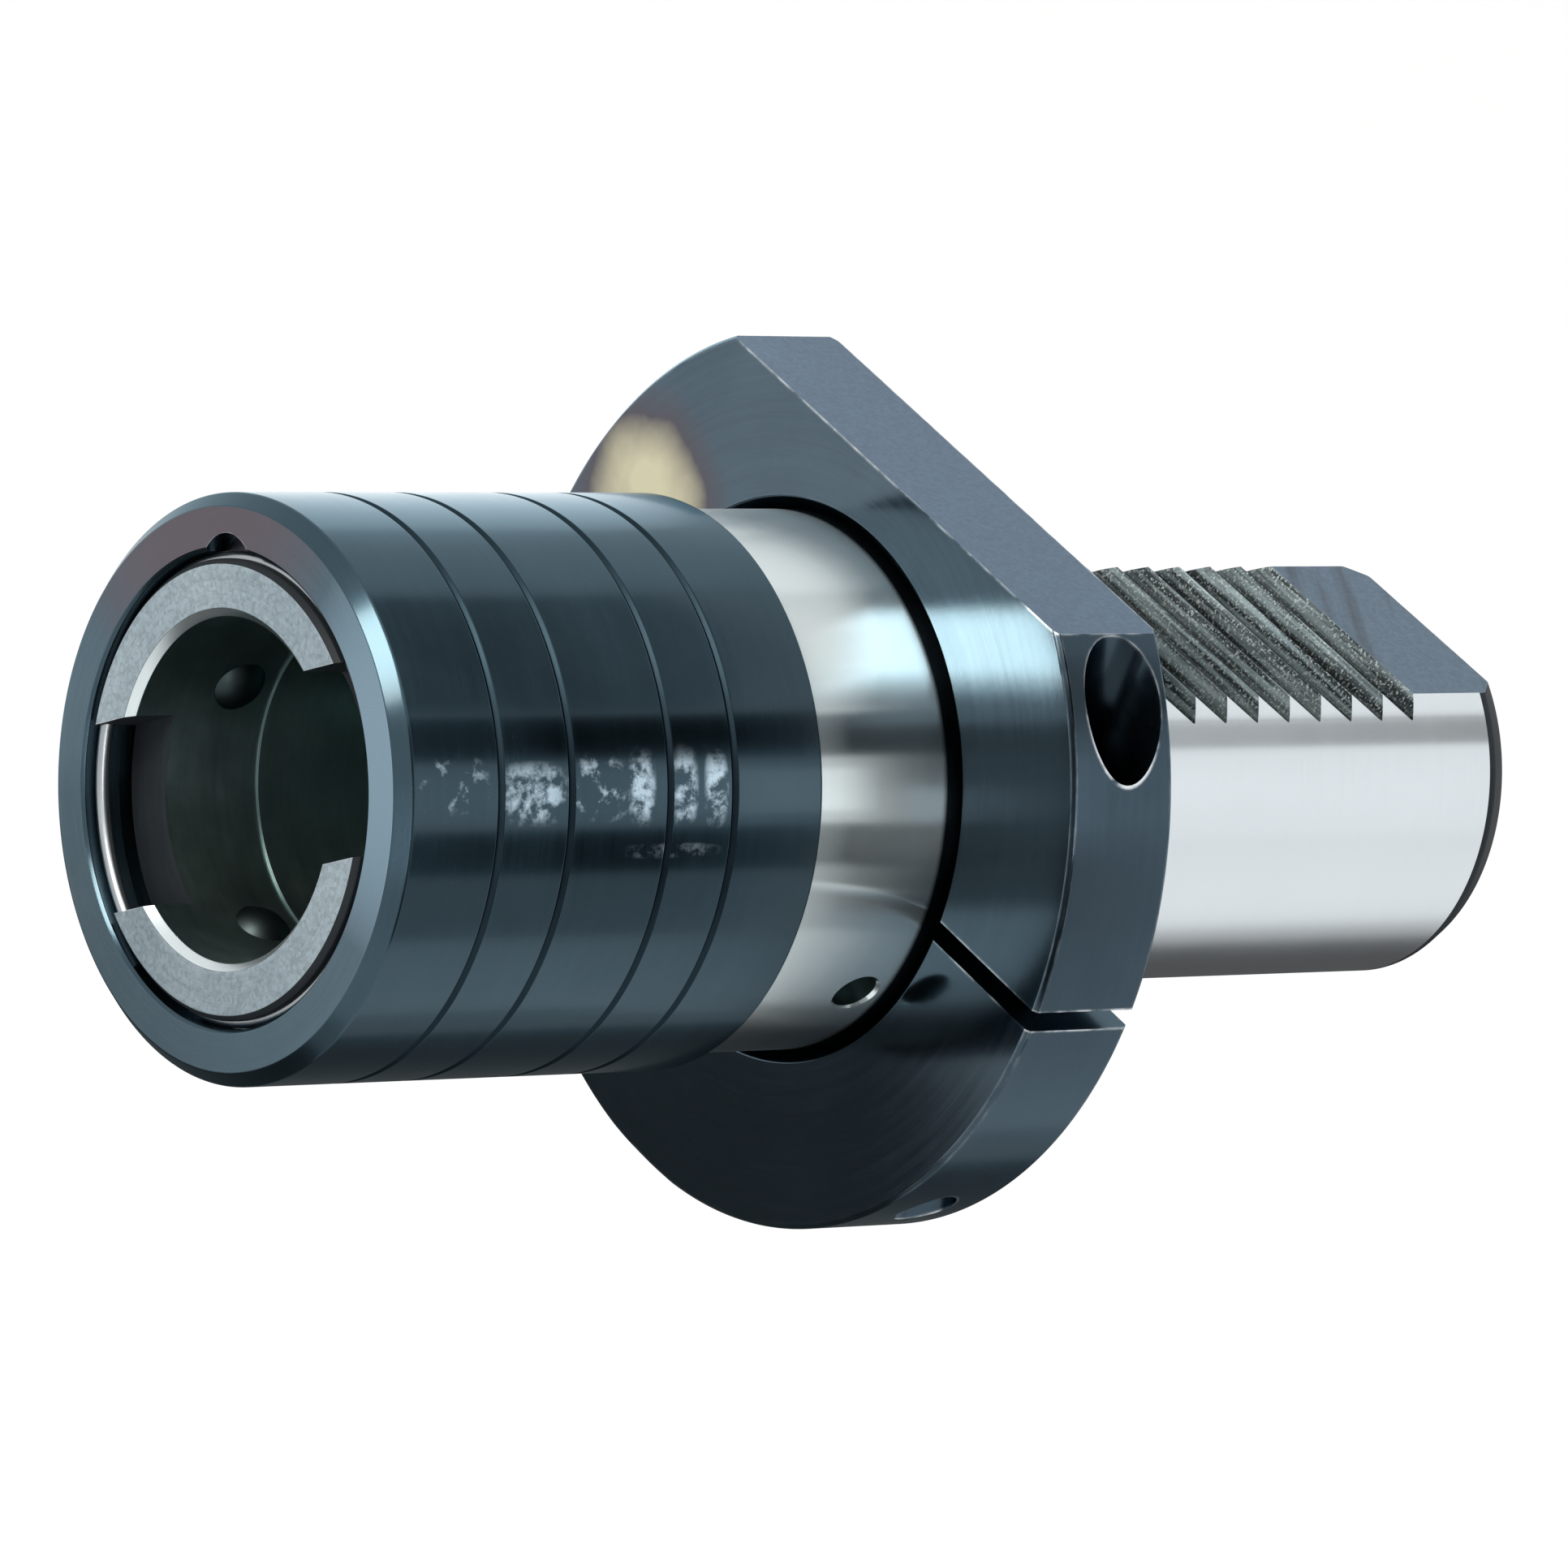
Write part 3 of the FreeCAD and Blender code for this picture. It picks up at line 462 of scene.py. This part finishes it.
# the flange face carries the painted warm reflection and the painted shade at the tube's foot
flangeSteel = metal("blackened face", (0.065, 0.1, 0.13), (0.085, 0.125, 0.158), 0.13, rings=0.4, grain=0.1, wear=1.0,
                    width=0.00045, blotch=0.03, bump=0.006, oil=0.25, edgeTint=coldEdge, extra=warmReflectionPaint)
# the sleeve carries painted highlight patches along one band of angle
sleeveSteel = metal("blackened sleeve", (0.03, 0.06, 0.08), (0.04, 0.074, 0.098), 0.25, rings=0.75, grain=0.08,
                    wear=0.35, width=0.00018, oil=0.3, blotch=0.06, edgeTint=coldEdge, extra=sleeveScuffHighlights)
frontSteel = metal("blackened sleeve face", (0.07, 0.115, 0.145), (0.1, 0.15, 0.185), 0.28, rings=0.5, grain=0.12,
                   wear=0.5, width=0.0002, oil=0.2, edgeTint=coldEdge, extra=faceReflectionPaint)
# painted shade: the grip grooves take a base several times darker than the sleeve round them
grooveShadeSteel = metal("grip groove", (0.012, 0.022, 0.03), (0.02, 0.034, 0.045), 0.4, grain=0.1, edgeTint=coldEdge)
# the bore is painted several times lighter than the blackened steel outside: partly its own green-grey tone, partly
# painted light for the light seen inside
boreSteelPaintedLight = metal("blackened bore painted lighter", (0.13, 0.19, 0.19), (0.19, 0.26, 0.26), 0.34, rings=0.5, grain=0.08, oil=0.3)
groundSteel = metal("ground steel", (0.68, 0.735, 0.77), (0.7, 0.755, 0.79), 0.22, rings=0.9, grain=0.015, bump=0.0,
                    blotch=0.02)
# the collar carries the painted shade at its foot, by the flange
collarSteel = metal("ground collar", (0.7, 0.78, 0.79), (0.74, 0.82, 0.83), 0.23, rings=1.0, grain=0.01, bump=0.0,
                    blotch=0.02, extra=footShade)
faceSteel = metal("satin face", (0.27, 0.34, 0.38), (0.4, 0.48, 0.52), 0.36, rings=0.5, grain=0.14, sparkle=0.15,
                  bump=0.03, blotch=0.16, wear=0.8, width=0.0002)
# painted highlight: the spindle's mouth chamfer, brighter than the ground face beside it
mouthHighlightSteel = metal("mouth painted highlight", (0.62, 0.7, 0.72), (0.72, 0.79, 0.8), 0.3, rings=0.3, grain=0.05, bump=0.0,
                   blotch=0.05)
toothSteel = metal("milled teeth", (0.1, 0.13, 0.14), (0.14, 0.17, 0.175), 0.34, grain=0.1, bump=0.1,
                   extra=toothMarks)
flatSteel = metal("milled flat", (0.07, 0.125, 0.18), (0.095, 0.15, 0.21), 0.3, grain=0.08, sparkle=0.12, bump=0.03,
                  wear=0.5, width=0.0002, extra=flatStreaks)
topSteel = metal("milled flange flat", (0.07, 0.125, 0.19), (0.095, 0.155, 0.225), 0.3, grain=0.06, sparkle=0.1,
                 bump=0.02, wear=0.9, width=0.0003)
# dull black: the shank's blackened end and the clamp screw, and painted shade in the spindle's slots
dullBlackAndSlotShade = metal("dull black end and slot shade", (0.008, 0.011, 0.014), (0.014, 0.018, 0.022), 0.5, grain=0.2, metallic=0.0)
dullBlackAndSlotShade.node_tree.nodes["Principled BSDF"].inputs["Specular IOR Level"].default_value = 0.1
ringSteel = metal("spring wire", (0.45, 0.48, 0.5), (0.3, 0.33, 0.35), 0.3, grain=0.15)
# painted shade: the lock balls are kept far darker than bearing steel, with a dulled edge tint, so that they sit dark
# in the bore
ballSteelPaintedShade = metal("oiled ball in painted shade", (0.03, 0.042, 0.044), (0.045, 0.06, 0.062), 0.42, grain=0.04, bump=0.0,
                     edgeTint=(0.3, 0.36, 0.38, 1))
screwSteel = metal("black screw", (0.03, 0.04, 0.05), (0.05, 0.06, 0.07), 0.35, grain=0.2, wear=0.6, oil=0.4)
sealRubber = metal("seal rubber", (0.02, 0.02, 0.021), (0.03, 0.03, 0.03), 0.55, grain=0.1, metallic=0.0)
print("finishes ready")


holder = {
    "flangeFront": -12.3, "flangeRadius": 42.5, "flangeFlat": 32.5, "flangeFoot": 42.1, "edge": 0.4, "rearEdge": 0.5,
    "seatRadius": 25.52, "seatMouth": 1.2, "seatFloor": -4.3, "sealOut": 22.77, "sealIn": 19.6, "sealFloor": -2.3,
    "shankRadius": 20.0, "shankEnd": 63.0, "endLength": 2.0, "endRise": 1.1, "endBlack": 2.7, "flat": 16.0,
    "toothStart": 11.6, "pitch": 4.0, "teeth": 10, "toothDepth": 1.8, "steep": 0.9,
    "bore": 11.0, "plugBore": 12.0, "plugFront": 56.2, "web": (15.0, 17.0), "studHole": 5.3,
    "slitHalf": 1.0, "slitRoot": -24.27, "screwX": -5.7, "screwY": -32.02, "wellFloor": 6.0, "wellRadius": 4.5,
    "wellHole": 2.52,
}


def makeHolder():
    h = holder
    piece = lathe("holder_body", [
        (h["flangeFront"], h["seatRadius"] + h["seatMouth"], 0.15),
        (h["flangeFront"], h["flangeRadius"] - h["edge"], 0.12),
        (h["flangeFront"] + h["edge"], h["flangeRadius"], 0.12),
        (-h["rearEdge"], h["flangeRadius"], 0.1),
        (0, h["flangeRadius"] - h["rearEdge"], 0.1),
        (0, h["sealOut"], 0.1),
        (h["sealFloor"], h["sealOut"], 0.1),
        (h["sealFloor"], h["sealIn"], 0.1),
        (0, h["sealIn"], 0.05),
        (0, h["shankRadius"], 0.05),
        (h["shankEnd"] - h["endBlack"], h["shankRadius"], 0.02),
        (h["shankEnd"] - h["endLength"], h["shankRadius"], 0.3),
        (h["shankEnd"], h["shankRadius"] - h["endRise"], 0.2),
        (h["shankEnd"], h["plugBore"] + 0.5, 0.1),
        (h["shankEnd"] - 0.5, h["plugBore"], 0.1),
        (h["plugFront"], h["plugBore"], 0.1),
        (h["plugFront"], h["bore"], 0.1),
        (h["web"][1], h["bore"], 0.1),
        (h["web"][1], h["studHole"], 0.1),
        (h["web"][0], h["studHole"], 0.1),
        (h["web"][0], h["bore"], 0.1),
        (h["seatFloor"], h["bore"], 0.1),
        (h["seatFloor"], h["seatRadius"], 0.1),
        (h["flangeFront"] + h["seatMouth"], h["seatRadius"], 0.15),
    ], around=384)
    top = h["shankRadius"] + 1
    low = h["flat"] - h["toothDepth"]
    comb = [(-0.001, top), (-0.001, h["flat"])]
    for tooth in range(h["teeth"]):
        start = h["toothStart"] + tooth * h["pitch"]
        comb += [(start, h["flat"]), (start + h["pitch"] - h["steep"] - 0.1, low + 0.05),
                 (start + h["pitch"] - h["steep"] + 0.08, low + 0.05), (start + h["pitch"] - 0.05, h["flat"] - 0.1)]
    comb += [(h["toothStart"] + h["teeth"] * h["pitch"], h["flat"]), (h["shankEnd"] + 1, h["flat"]),
             (h["shankEnd"] + 1, top)]
    wide, clear, back = h["flangeRadius"] + 1, h["flangeFront"] - 1, 0.001
    flat, foot, half, root = h["flangeFlat"], -h["flangeFoot"], h["slitHalf"], h["slitRoot"]
    tools = [
        barTool(comb, -wide, wide),
        barTool([(clear, flat), (back, flat), (back, wide + 1), (clear, wide + 1)], -wide, wide),
        barTool([(clear, -wide - 1), (back, -wide - 1), (back, foot), (clear, foot)], -wide, wide),
        barTool([(-wide, -half), (root, -half), (root, half), (-wide, half)], clear, 0.5, axis="x"),
    ]
    well = drillTool([(-wide, h["wellHole"]), (h["wellFloor"], h["wellHole"]),
                      (h["wellFloor"] + 0.001, h["wellRadius"]), (wide, h["wellRadius"])], h["screwX"], 0)
    well.data.transform(Matrix.Translation((0, h["screwY"] * mm, 0)))
    tools.append(well)
    carve(piece, tools)

    def choose(centre, normal):
        x, radius = centre[:, 0], np.hypot(centre[:, 1], centre[:, 2])
        level, upright = centre[:, 2], normal[:, 2] > 0.95
        blackFrom = h["shankEnd"] - h["endBlack"]
        flat = (x > 0.01) & upright & (np.abs(level - h["flat"]) < 0.05)
        gaps = (x > h["toothStart"]) & (level < h["flat"] - 0.01) & (level > low - 0.01)
        gaps &= np.abs(normal[:, 1]) < 0.1
        picks = np.zeros(len(x), int)
        picks[(x > 0.02) & (x < blackFrom) & (radius > h["shankRadius"] - 0.4) & ~flat & ~gaps] = 1
        picks[gaps] = 2
        picks[flat] = 3
        picks[(x > blackFrom) & (radius > h["plugBore"] + 0.6) & ~flat] = 4
        picks[(x < 0.01) & upright & (level > h["flangeFlat"] - 0.05)] = 5
        picks[(x < h["flangeFront"] + 0.05) & (normal[:, 0] < -0.9)] = 6
        return picks

    return finishPiece(piece, "holder", ["vdi_holder"],
                       [blackSteel, groundSteel, toothSteel, flatSteel, dullBlackAndSlotShade, topSteel, flangeSteel], choose)


makeHolder()
print("holder made")


tube = {"front": -39.8, "rear": -4.3, "bore": 21.05, "radius": 25.5, "edge": 0.5,
        "holeX": -16.5, "holeAngle": 109.5, "holeRadius": 2.25, "holeDepth": 3.0, "holeCone": 0.7, "holeFlare": 0.5}


def makeTube():
    t = tube
    front, rear, edge, radius = t["front"], t["rear"], t["edge"], t["radius"]
    piece = lathe("guide_barrel", [
        (front, t["bore"] + edge, 0.1), (front, radius - edge, 0.1), (front + edge, radius, 0.1),
        (rear - edge, radius, 0.1), (rear, radius - edge, 0.1), (rear, t["bore"], 0.1),
        (front + edge, t["bore"], 0.1)])
    bottom, drill, mouth = radius - t["holeDepth"], t["holeRadius"], t["holeRadius"] + t["holeFlare"]
    hole = drillTool([(bottom - t["holeCone"], 0.05), (bottom, drill), (radius - 0.35, drill), (radius + 0.3, mouth),
                      (radius + 1, mouth)], t["holeX"], t["holeAngle"])
    carve(piece, [hole])
    finishPiece(piece, "holder", ["guide_tube"], [collarSteel, boreSteelPaintedLight],
                lambda centre, normal: (np.hypot(centre[:, 1], centre[:, 2]) < radius - 0.6).astype(int))


makeTube()
print("guide tube made")


sleeve = {"front": -77.4, "rear": -28.9, "radius": 27.0, "chamfer": 1.3, "lipBore": 21.8, "lipEdge": 0.3,
          "grips": (11.2, 19.2, 30.5, 38.0), "gripWidth": 0.8, "gripDepth": 0.35, "skirtBore": 25.7,
          "chamber": -61.5, "landBore": 21.05, "landFront": -63.2, "coneNarrow": (-64.83, 21.378),
          "coneWide": (-69.5, 22.75), "recess": (-73.755, 22.75), "ringBack": -75.03,
          "notchAngle": -28.8, "notchRadius": 4.0, "notchCentre": 19.3, "notchDepth": 2.37}


def makeSleeve():
    s = sleeve
    outline = [(s["front"], s["lipBore"] + s["lipEdge"], 0.06), (s["front"], s["radius"] - s["chamfer"], 0.15),
               (s["front"] + s["chamfer"], s["radius"], 0.2)]
    for grip in s["grips"]:
        x = s["front"] + grip
        outline += [(x - s["gripWidth"] / 2, s["radius"], 0.08), (x, s["radius"] - s["gripDepth"], 0.1),
                    (x + s["gripWidth"] / 2, s["radius"], 0.08)]
    outline += [(s["rear"] - 0.4, s["radius"], 0.12), (s["rear"], s["radius"] - 0.4, 0.12),
                (s["rear"], s["skirtBore"], 0.1), (s["chamber"], s["skirtBore"], 0.1),
                (s["chamber"], s["landBore"], 0.1), (s["landFront"], s["landBore"], 0.05),
                (s["landFront"], s["coneNarrow"][1], 0.05), (*s["coneNarrow"], 0.1), (*s["coneWide"], 0.1),
                (*s["recess"], 0.1), (s["recess"][0], s["landBore"], 0.05), (s["ringBack"], s["landBore"], 0.05),
                (s["ringBack"], s["lipBore"], 0.05), (s["front"] + s["lipEdge"], s["lipBore"], 0.06)]
    piece = lathe("release_grip", outline, around=384)
    a = np.linspace(0, 2 * np.pi, 96, endpoint=False)
    circle = np.stack([s["notchRadius"] * np.cos(a), s["notchCentre"] + s["notchRadius"] * np.sin(a)], axis=-1)
    ends = np.array([np.stack([np.full(96, level), circle[:, 0], circle[:, 1]], axis=-1)
                     for level in (s["front"] - 1, s["front"] + s["notchDepth"])])
    carve(piece, [skin("cutter", roundX(ends, s["notchAngle"]))])

    def choose(centre, normal):
        x, radius = centre[:, 0], np.hypot(centre[:, 1], centre[:, 2])
        groove = (radius > s["radius"] - s["gripDepth"] - 0.02) & (radius < s["radius"] - 0.02)
        groove &= (x > s["front"] + 5) & (x < s["rear"] - 1)
        return np.where(groove, 2, np.where(normal[:, 0] < -0.9, 1, 0))

    finishPiece(piece, "sleeve", ["release_sleeve"], [sleeveSteel, frontSteel, grooveShadeSteel], choose)


makeSleeve()
print("sleeve made")


spindle = {"front": -77.4, "radius": 21.0, "faceEdge": 0.5, "bore": 15.5, "entry": 15.75, "mouth": 1.0,
           "entryEnd": -62.0, "boreFloor": -40.0, "ringX": -75.7, "wire": 0.67,
           "slotWidth": 17.5, "slotDepth": 5.0, "slotAngle": 50.0,
           "shoulder": (-51.5, -49.9, 25.2), "skirtRear": -24.2, "cavity": 18.5, "webRear": -36.0, "tail": 9.9,
           "keyedEnd": 4.0, "stud": 5.0, "studEnd": 45.7, "ballX": -66.0}


def makeSpindle():
    s = spindle
    piece = lathe("spindle_body", [
        (s["boreFloor"], s["bore"], 0), (s["entryEnd"], s["bore"], 0.05), (s["entryEnd"], s["entry"], 0.05),
        (s["front"] + s["mouth"] - 0.25, s["entry"], 0.1), (s["front"], s["bore"] + s["mouth"], 0.08),
        (s["front"], s["radius"] - s["faceEdge"], 0.1), (s["front"] + s["faceEdge"], s["radius"], 0.1),
        (s["ringX"] - s["wire"], s["radius"], 0.05), (s["ringX"] - s["wire"], s["radius"] - s["wire"], 0.1),
        (s["ringX"] + s["wire"], s["radius"] - s["wire"], 0.1), (s["ringX"] + s["wire"], s["radius"], 0.05),
        (s["shoulder"][0], s["radius"], 0.1), (s["shoulder"][0], s["shoulder"][2], 0.1),
        (s["shoulder"][1], s["shoulder"][2], 0.1), (s["shoulder"][1], s["radius"], 0.1),
        (s["skirtRear"], s["radius"], 0.1), (s["skirtRear"], s["cavity"], 0.1), (s["webRear"], s["cavity"], 0.2),
        (s["webRear"], s["tail"], 0.2), (s["keyedEnd"], s["tail"], 0.2), (s["keyedEnd"], s["stud"], 0.1),
        (s["studEnd"] - 0.7, s["stud"], 0.1), (s["studEnd"], s["stud"] - 0.7, 0)], loop=False)
    half, reach = s["slotWidth"] / 2, s["radius"] + 1
    slotEnds = np.array([[(level, -half, -reach), (level, half, -reach), (level, half, reach), (level, -half, reach)]
                         for level in (s["front"] - 1, s["front"] + s["slotDepth"])])
    tools = [skin("cutter", roundX(slotEnds, s["slotAngle"]))]
    for index in range(4):
        tools.append(drillTool([(12.0, 1.6), (15.6, 2.6), (16.2, 2.95), (17.6, 3.56), (22.0, 3.56)], s["ballX"],
                               s["slotAngle"] + 45 + 90 * index, around=64))
    for turn in (0, 180):
        keyEnds = np.array([[(level, -2.05, 7.4), (level, 2.05, 7.4), (level, 2.05, 11), (level, -2.05, 11)]
                            for level in (-24.7, 4.5)])
        tools.append(skin("cutter", roundX(keyEnds, turn)))
    carve(piece, tools)

    def choose(centre, normal):
        x, radius = centre[:, 0], np.hypot(centre[:, 1], centre[:, 2])
        # the mouth chamfer takes the painted highlight
        mouth = (x > s["front"] + 0.03) & (x < s["front"] + s["mouth"]) & (normal[:, 0] < -0.2)
        mouth &= (radius < s["entry"] + 1.05) & (radius > s["entry"] + 0.02)
        bright = (x < s["front"] + 0.02) | mouth
        # painted shade: the slot walls and floors take the dull black, darker than the blackened bore
        slotShade = (x > s["front"] + 0.02) & (x < s["front"] + s["slotDepth"] + 0.1)
        slotShade &= (radius > s["entry"] + 0.1) & ~bright
        return np.where(mouth, 3, np.where(bright, 1, np.where(slotShade, 2, 0)))

    finishPiece(piece, "spindle", ["spindle"], [boreSteelPaintedLight, faceSteel, dullBlackAndSlotShade, mouthHighlightSteel],
                choose)


makeSpindle()
print("spindle made")


def hoop(size, a, around):
    # a round section carried along the arc of angles a: the section's angle b sets its place across the wire
    b = np.linspace(0, 2 * np.pi, around, endpoint=False)[None, :]
    radius = size["radius"] + size["wire"] * np.cos(b)
    return np.stack([size["x"] + size["wire"] * np.sin(b) + 0 * a, -radius * np.sin(a), radius * np.cos(a)], axis=-1)


wireRing = {"x": -75.7, "radius": 21.0, "wire": 0.65, "gap": 24.0}


def makeWireRing():
    # the gap, in degrees, stays open at the bottom
    r = wireRing
    a = np.radians(np.linspace(180 + r["gap"] / 2, 540 - r["gap"] / 2, 260))[:, None]
    piece = skin("wire_ring", hoop(r, a, 24))
    finishPiece(piece, "spindle", ["retaining_ring"], [ringSteel], sharp=50)


makeWireRing()


flangeSeal = {"x": -1.18, "radius": 21.12, "wire": 1.1}


def makeFlangeSeal():
    a = np.linspace(0, 2 * np.pi, 256, endpoint=False)[:, None]
    piece = skin("flange_ring", hoop(flangeSeal, a, 32), loop=True)
    finishPiece(piece, "holder", ["flange_seal"], [sealRubber], sharp=60)


makeFlangeSeal()
print("ring and seal made")

# the three springs: "still" is the body at the fixed end, "moving" the one that presses the other end
springs = {
    "push_spring": {"wide": 3.0, "thick": 2.6, "turns": 3.5,
                    "still": "holder", "moving": "spindle", "fixedEnd": "rear"},
    "pull_spring": {"wide": 2.2, "thick": 2.0, "turns": 4.5,
                    "still": "holder", "moving": "spindle", "fixedEnd": "front"},
    "sleeve_spring": {"wide": 2.2, "thick": 1.3, "turns": 3.0,
                      "still": "sleeve_turn", "moving": "sleeve", "fixedEnd": "rear"},
}


def makeSpring(node, s):
    # a bar section with rounded corners (a squared-off circle of angle b) carried along a helix: x grows evenly
    # with the angle a while the section keeps its distance from the axis
    low, high = [np.array(corner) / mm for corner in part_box(node)]
    a = np.linspace(0, 2 * np.pi * s["turns"], int(80 * s["turns"]) + 1)[:, None]
    b = np.linspace(0, 2 * np.pi, 28, endpoint=False)[None, :]
    across = np.sign(np.cos(b)) * np.abs(np.cos(b)) ** 0.35 * s["thick"] / 2
    radius = high[2] - s["wide"] / 2 + np.sign(np.sin(b)) * np.abs(np.sin(b)) ** 0.35 * s["wide"] / 2
    x = low[0] + s["thick"] / 2 + (high[0] - low[0] - s["thick"]) * a / a[-1] + across
    rings = np.stack([x, radius * np.sin(a), radius * np.cos(a)], axis=-1)
    coil = skin(node.replace("spring", "coil"), rings)
    finishPiece(coil, None, [node], [ringSteel], sharp=40)
    ends = [(low[0] * mm, 0, 0), (high[0] * mm, 0, 0)]
    if s["fixedEnd"] == "rear":
        ends.reverse()
    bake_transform(coil)


for springNode, spring in springs.items():
    makeSpring(springNode, spring)
print("springs made")


keptFinish = {
    "clamp_screw": dullBlackAndSlotShade, "drive_bush": boreSteelPaintedLight, "drive_key_1": screwSteel, "drive_key_2": screwSteel,
    "shank_plug": blackSteel, "plug_seal": sealRubber, "tail_washer": screwSteel, "lock_nut": screwSteel,
    **{f"lock_ball_{index}": ballSteelPaintedShade for index in range(1, 5)},
}
for nodeName, finish in keptFinish.items():
    for part in [o for o in bpy.data.objects if o.type == "MESH" and o.name.split(".")[0] == nodeName]:
        for index in range(max(1, len(part.material_slots))):
            if part.material_slots:
                part.material_slots[index].material = finish
            else:
                part.data.materials.append(finish)
print("kept pieces finished")


stage = {"floorDepth": -0.26, "floorSize": 6.0, "worldLevel": 0.75}


def whiteForRays(tree, factor):
    # the camera and reflections see plain white, everything else the level that lights the object
    path = addNode(tree, "ShaderNodeLightPath").outputs
    seen = mathNode(tree, "ADD", path["Is Camera Ray"], path["Is Glossy Ray"])
    seen = mathNode(tree, "ADD", seen, path["Is Transmission Ray"], clamp=True)
    return mathNode(tree, "MULTIPLY", seen, factor)


def makeFloor():
    size, depth = stage["floorSize"] / mm / 2, stage["floorDepth"] / mm
    corners = np.array([(-size, -size, depth), (size, -size, depth), (size, size, depth), (-size, size, depth)])
    floor = meshPiece("floor", corners, [(0, 1, 2, 3)])
    material = bpy.data.materials.new("pale floor")
    material.use_nodes = True
    tree = material.node_tree
    shader = tree.nodes["Principled BSDF"]
    shader.inputs["Base Color"].default_value = (0.86, 0.86, 0.86, 1)
    shader.inputs["Roughness"].default_value = 0.9
    glow = addNode(tree, "ShaderNodeEmission", {"Color": (1, 1, 1, 1), "Strength": 1.0}).outputs[0]
    blend = addNode(tree, "ShaderNodeMixShader", {0: whiteForRays(tree, 0.9), 1: shader.outputs[0], 2: glow})
    tree.links.new(blend.outputs[0], tree.nodes["Material Output"].inputs["Surface"])
    floor.data.materials.append(material)


# cards along the axis, seen only by gloss: from and to angle (from +Z towards -Y), distance, axial range, grey
cards = {
    "card_back": (-102, -50, 100, -15, 40, 1.7), "card_top": (-12, 33, 100, -38, 24, 0.28),
    "card_high": (35, 50, 95, -38, 26, 0.0), "card_bright": (54, 69, 95, 15, 31, 2.2),
    "card_slope": (112, 150, 95, 16, 34, 0.9),
    "card_front": (73, 88, 95, -38, 26, 0.0), "card_under": (88, 112, 100, -38, 26, 0.55),
    "card_shank": (29, 45, 450, 370, 800, 0.08), "card_mirror": (38, 110, 120, -140, -45, 0.03),
    "card_low_edge": (150, 163, 170, -195, 420, 0.55), "card_low": (163, 238, 170, -195, 420, 0.1),
}


def makeCards():
    for name, (first, last, distance, low, high, grey) in cards.items():
        material = bpy.data.materials.new(name)
        material.use_nodes = True
        tree = material.node_tree
        glow = addNode(tree, "ShaderNodeEmission", {"Color": (grey, grey, grey, 1), "Strength": 1.0}).outputs[0]
        tree.links.new(glow, tree.nodes["Material Output"].inputs["Surface"])
        turn, half = math.radians((first + last) / 2), math.radians(last - first) / 2
        out = np.array([0, -math.sin(turn), math.cos(turn)]) * distance
        side = np.array([0, math.cos(turn), math.sin(turn)]) * distance * math.tan(half)
        near, far = np.array([low, 0, 0]), np.array([high, 0, 0])
        corners = np.array([out - side + near, out + side + near, out + side + far, out - side + far])
        card = meshPiece(name, corners, [(0, 1, 2, 3)])
        card.data.materials.append(material)
        card.visible_camera = card.visible_diffuse = card.visible_shadow = False


def makeWorld():
    world = bpy.data.worlds.new("studio")
    bpy.context.scene.world = world
    world.use_nodes = True
    tree = world.node_tree
    plain = tree.nodes["Background"]
    plain.inputs["Color"].default_value = (1, 1, 1, 1)
    plain.inputs["Strength"].default_value = stage["worldLevel"]
    white = addNode(tree, "ShaderNodeBackground", {"Color": (1, 1, 1, 1), "Strength": 1.0}).outputs[0]
    blend = addNode(tree, "ShaderNodeMixShader", {0: whiteForRays(tree, 1.0), 1: plain.outputs[0], 2: white})
    tree.links.new(blend.outputs[0], tree.nodes["World Output"].inputs["Surface"])


# place (m), size (m), power (W), whether the metal shows the lamp itself, and its colour
lamps = {
    "soft lamp above": ((0.25, -0.15, 1.1), 0.7, 9.0, False, (1.0, 1.0, 1.0)),
    "soft lamp front": ((-0.5, -1.0, 0.25), 0.6, 5.0, True, (1.0, 1.0, 1.0)),
    "soft lamp left": ((-0.68, 0.0, 0.72), 0.45, 9.5, True, (1.0, 0.91, 0.81)),
}
# degrees, metres and millimetres of film
camera = {"azimuth": -43.900, "height": 24.633, "roll": 20.715, "place": (-0.65475, -0.66834, 0.42475),
          "lens": 248.10, "sensor": 36.0}


def makeLamp(name, place, size, power, gloss, colour):
    lamp = bpy.data.lights.new(name, "AREA")
    lamp.shape, lamp.size, lamp.energy, lamp.color = "SQUARE", size, power, colour
    lampObject = bpy.data.objects.new(name, lamp)
    bpy.context.collection.objects.link(lampObject)
    lampObject.visible_glossy = gloss
    lampObject.location = place
    lampObject.rotation_euler = (-Vector(place)).to_track_quat("-Z", "Y").to_euler()


def makeCamera():
    # the photograph's direction, with the roll that tips the axis in the picture
    azimuth, height, roll = [math.radians(camera[key]) for key in ("azimuth", "height", "roll")]
    back = Vector((math.sin(azimuth) * math.cos(height), -math.cos(azimuth) * math.cos(height), math.sin(height)))
    right = Vector((0, 0, 1)).cross(back).normalized()
    up = back.cross(right)
    across = math.cos(roll) * right + math.sin(roll) * up
    upright = -math.sin(roll) * right + math.cos(roll) * up
    data = bpy.data.cameras.new("camera")
    data.sensor_width, data.lens = camera["sensor"], camera["lens"]
    data.clip_start, data.clip_end = 0.05, 20.0
    viewer = bpy.data.objects.new("camera", data)
    viewer.matrix_world = Matrix((across, upright, back)).transposed().to_4x4()
    viewer.location = camera["place"]
    bpy.context.collection.objects.link(viewer)
    bpy.context.scene.camera = viewer


makeFloor()
makeCards()
makeWorld()
for lampName, lampValues in lamps.items():
    makeLamp(lampName, *lampValues)
makeCamera()
bpy.context.scene.view_settings.view_transform = "Standard"
print("stage ready")
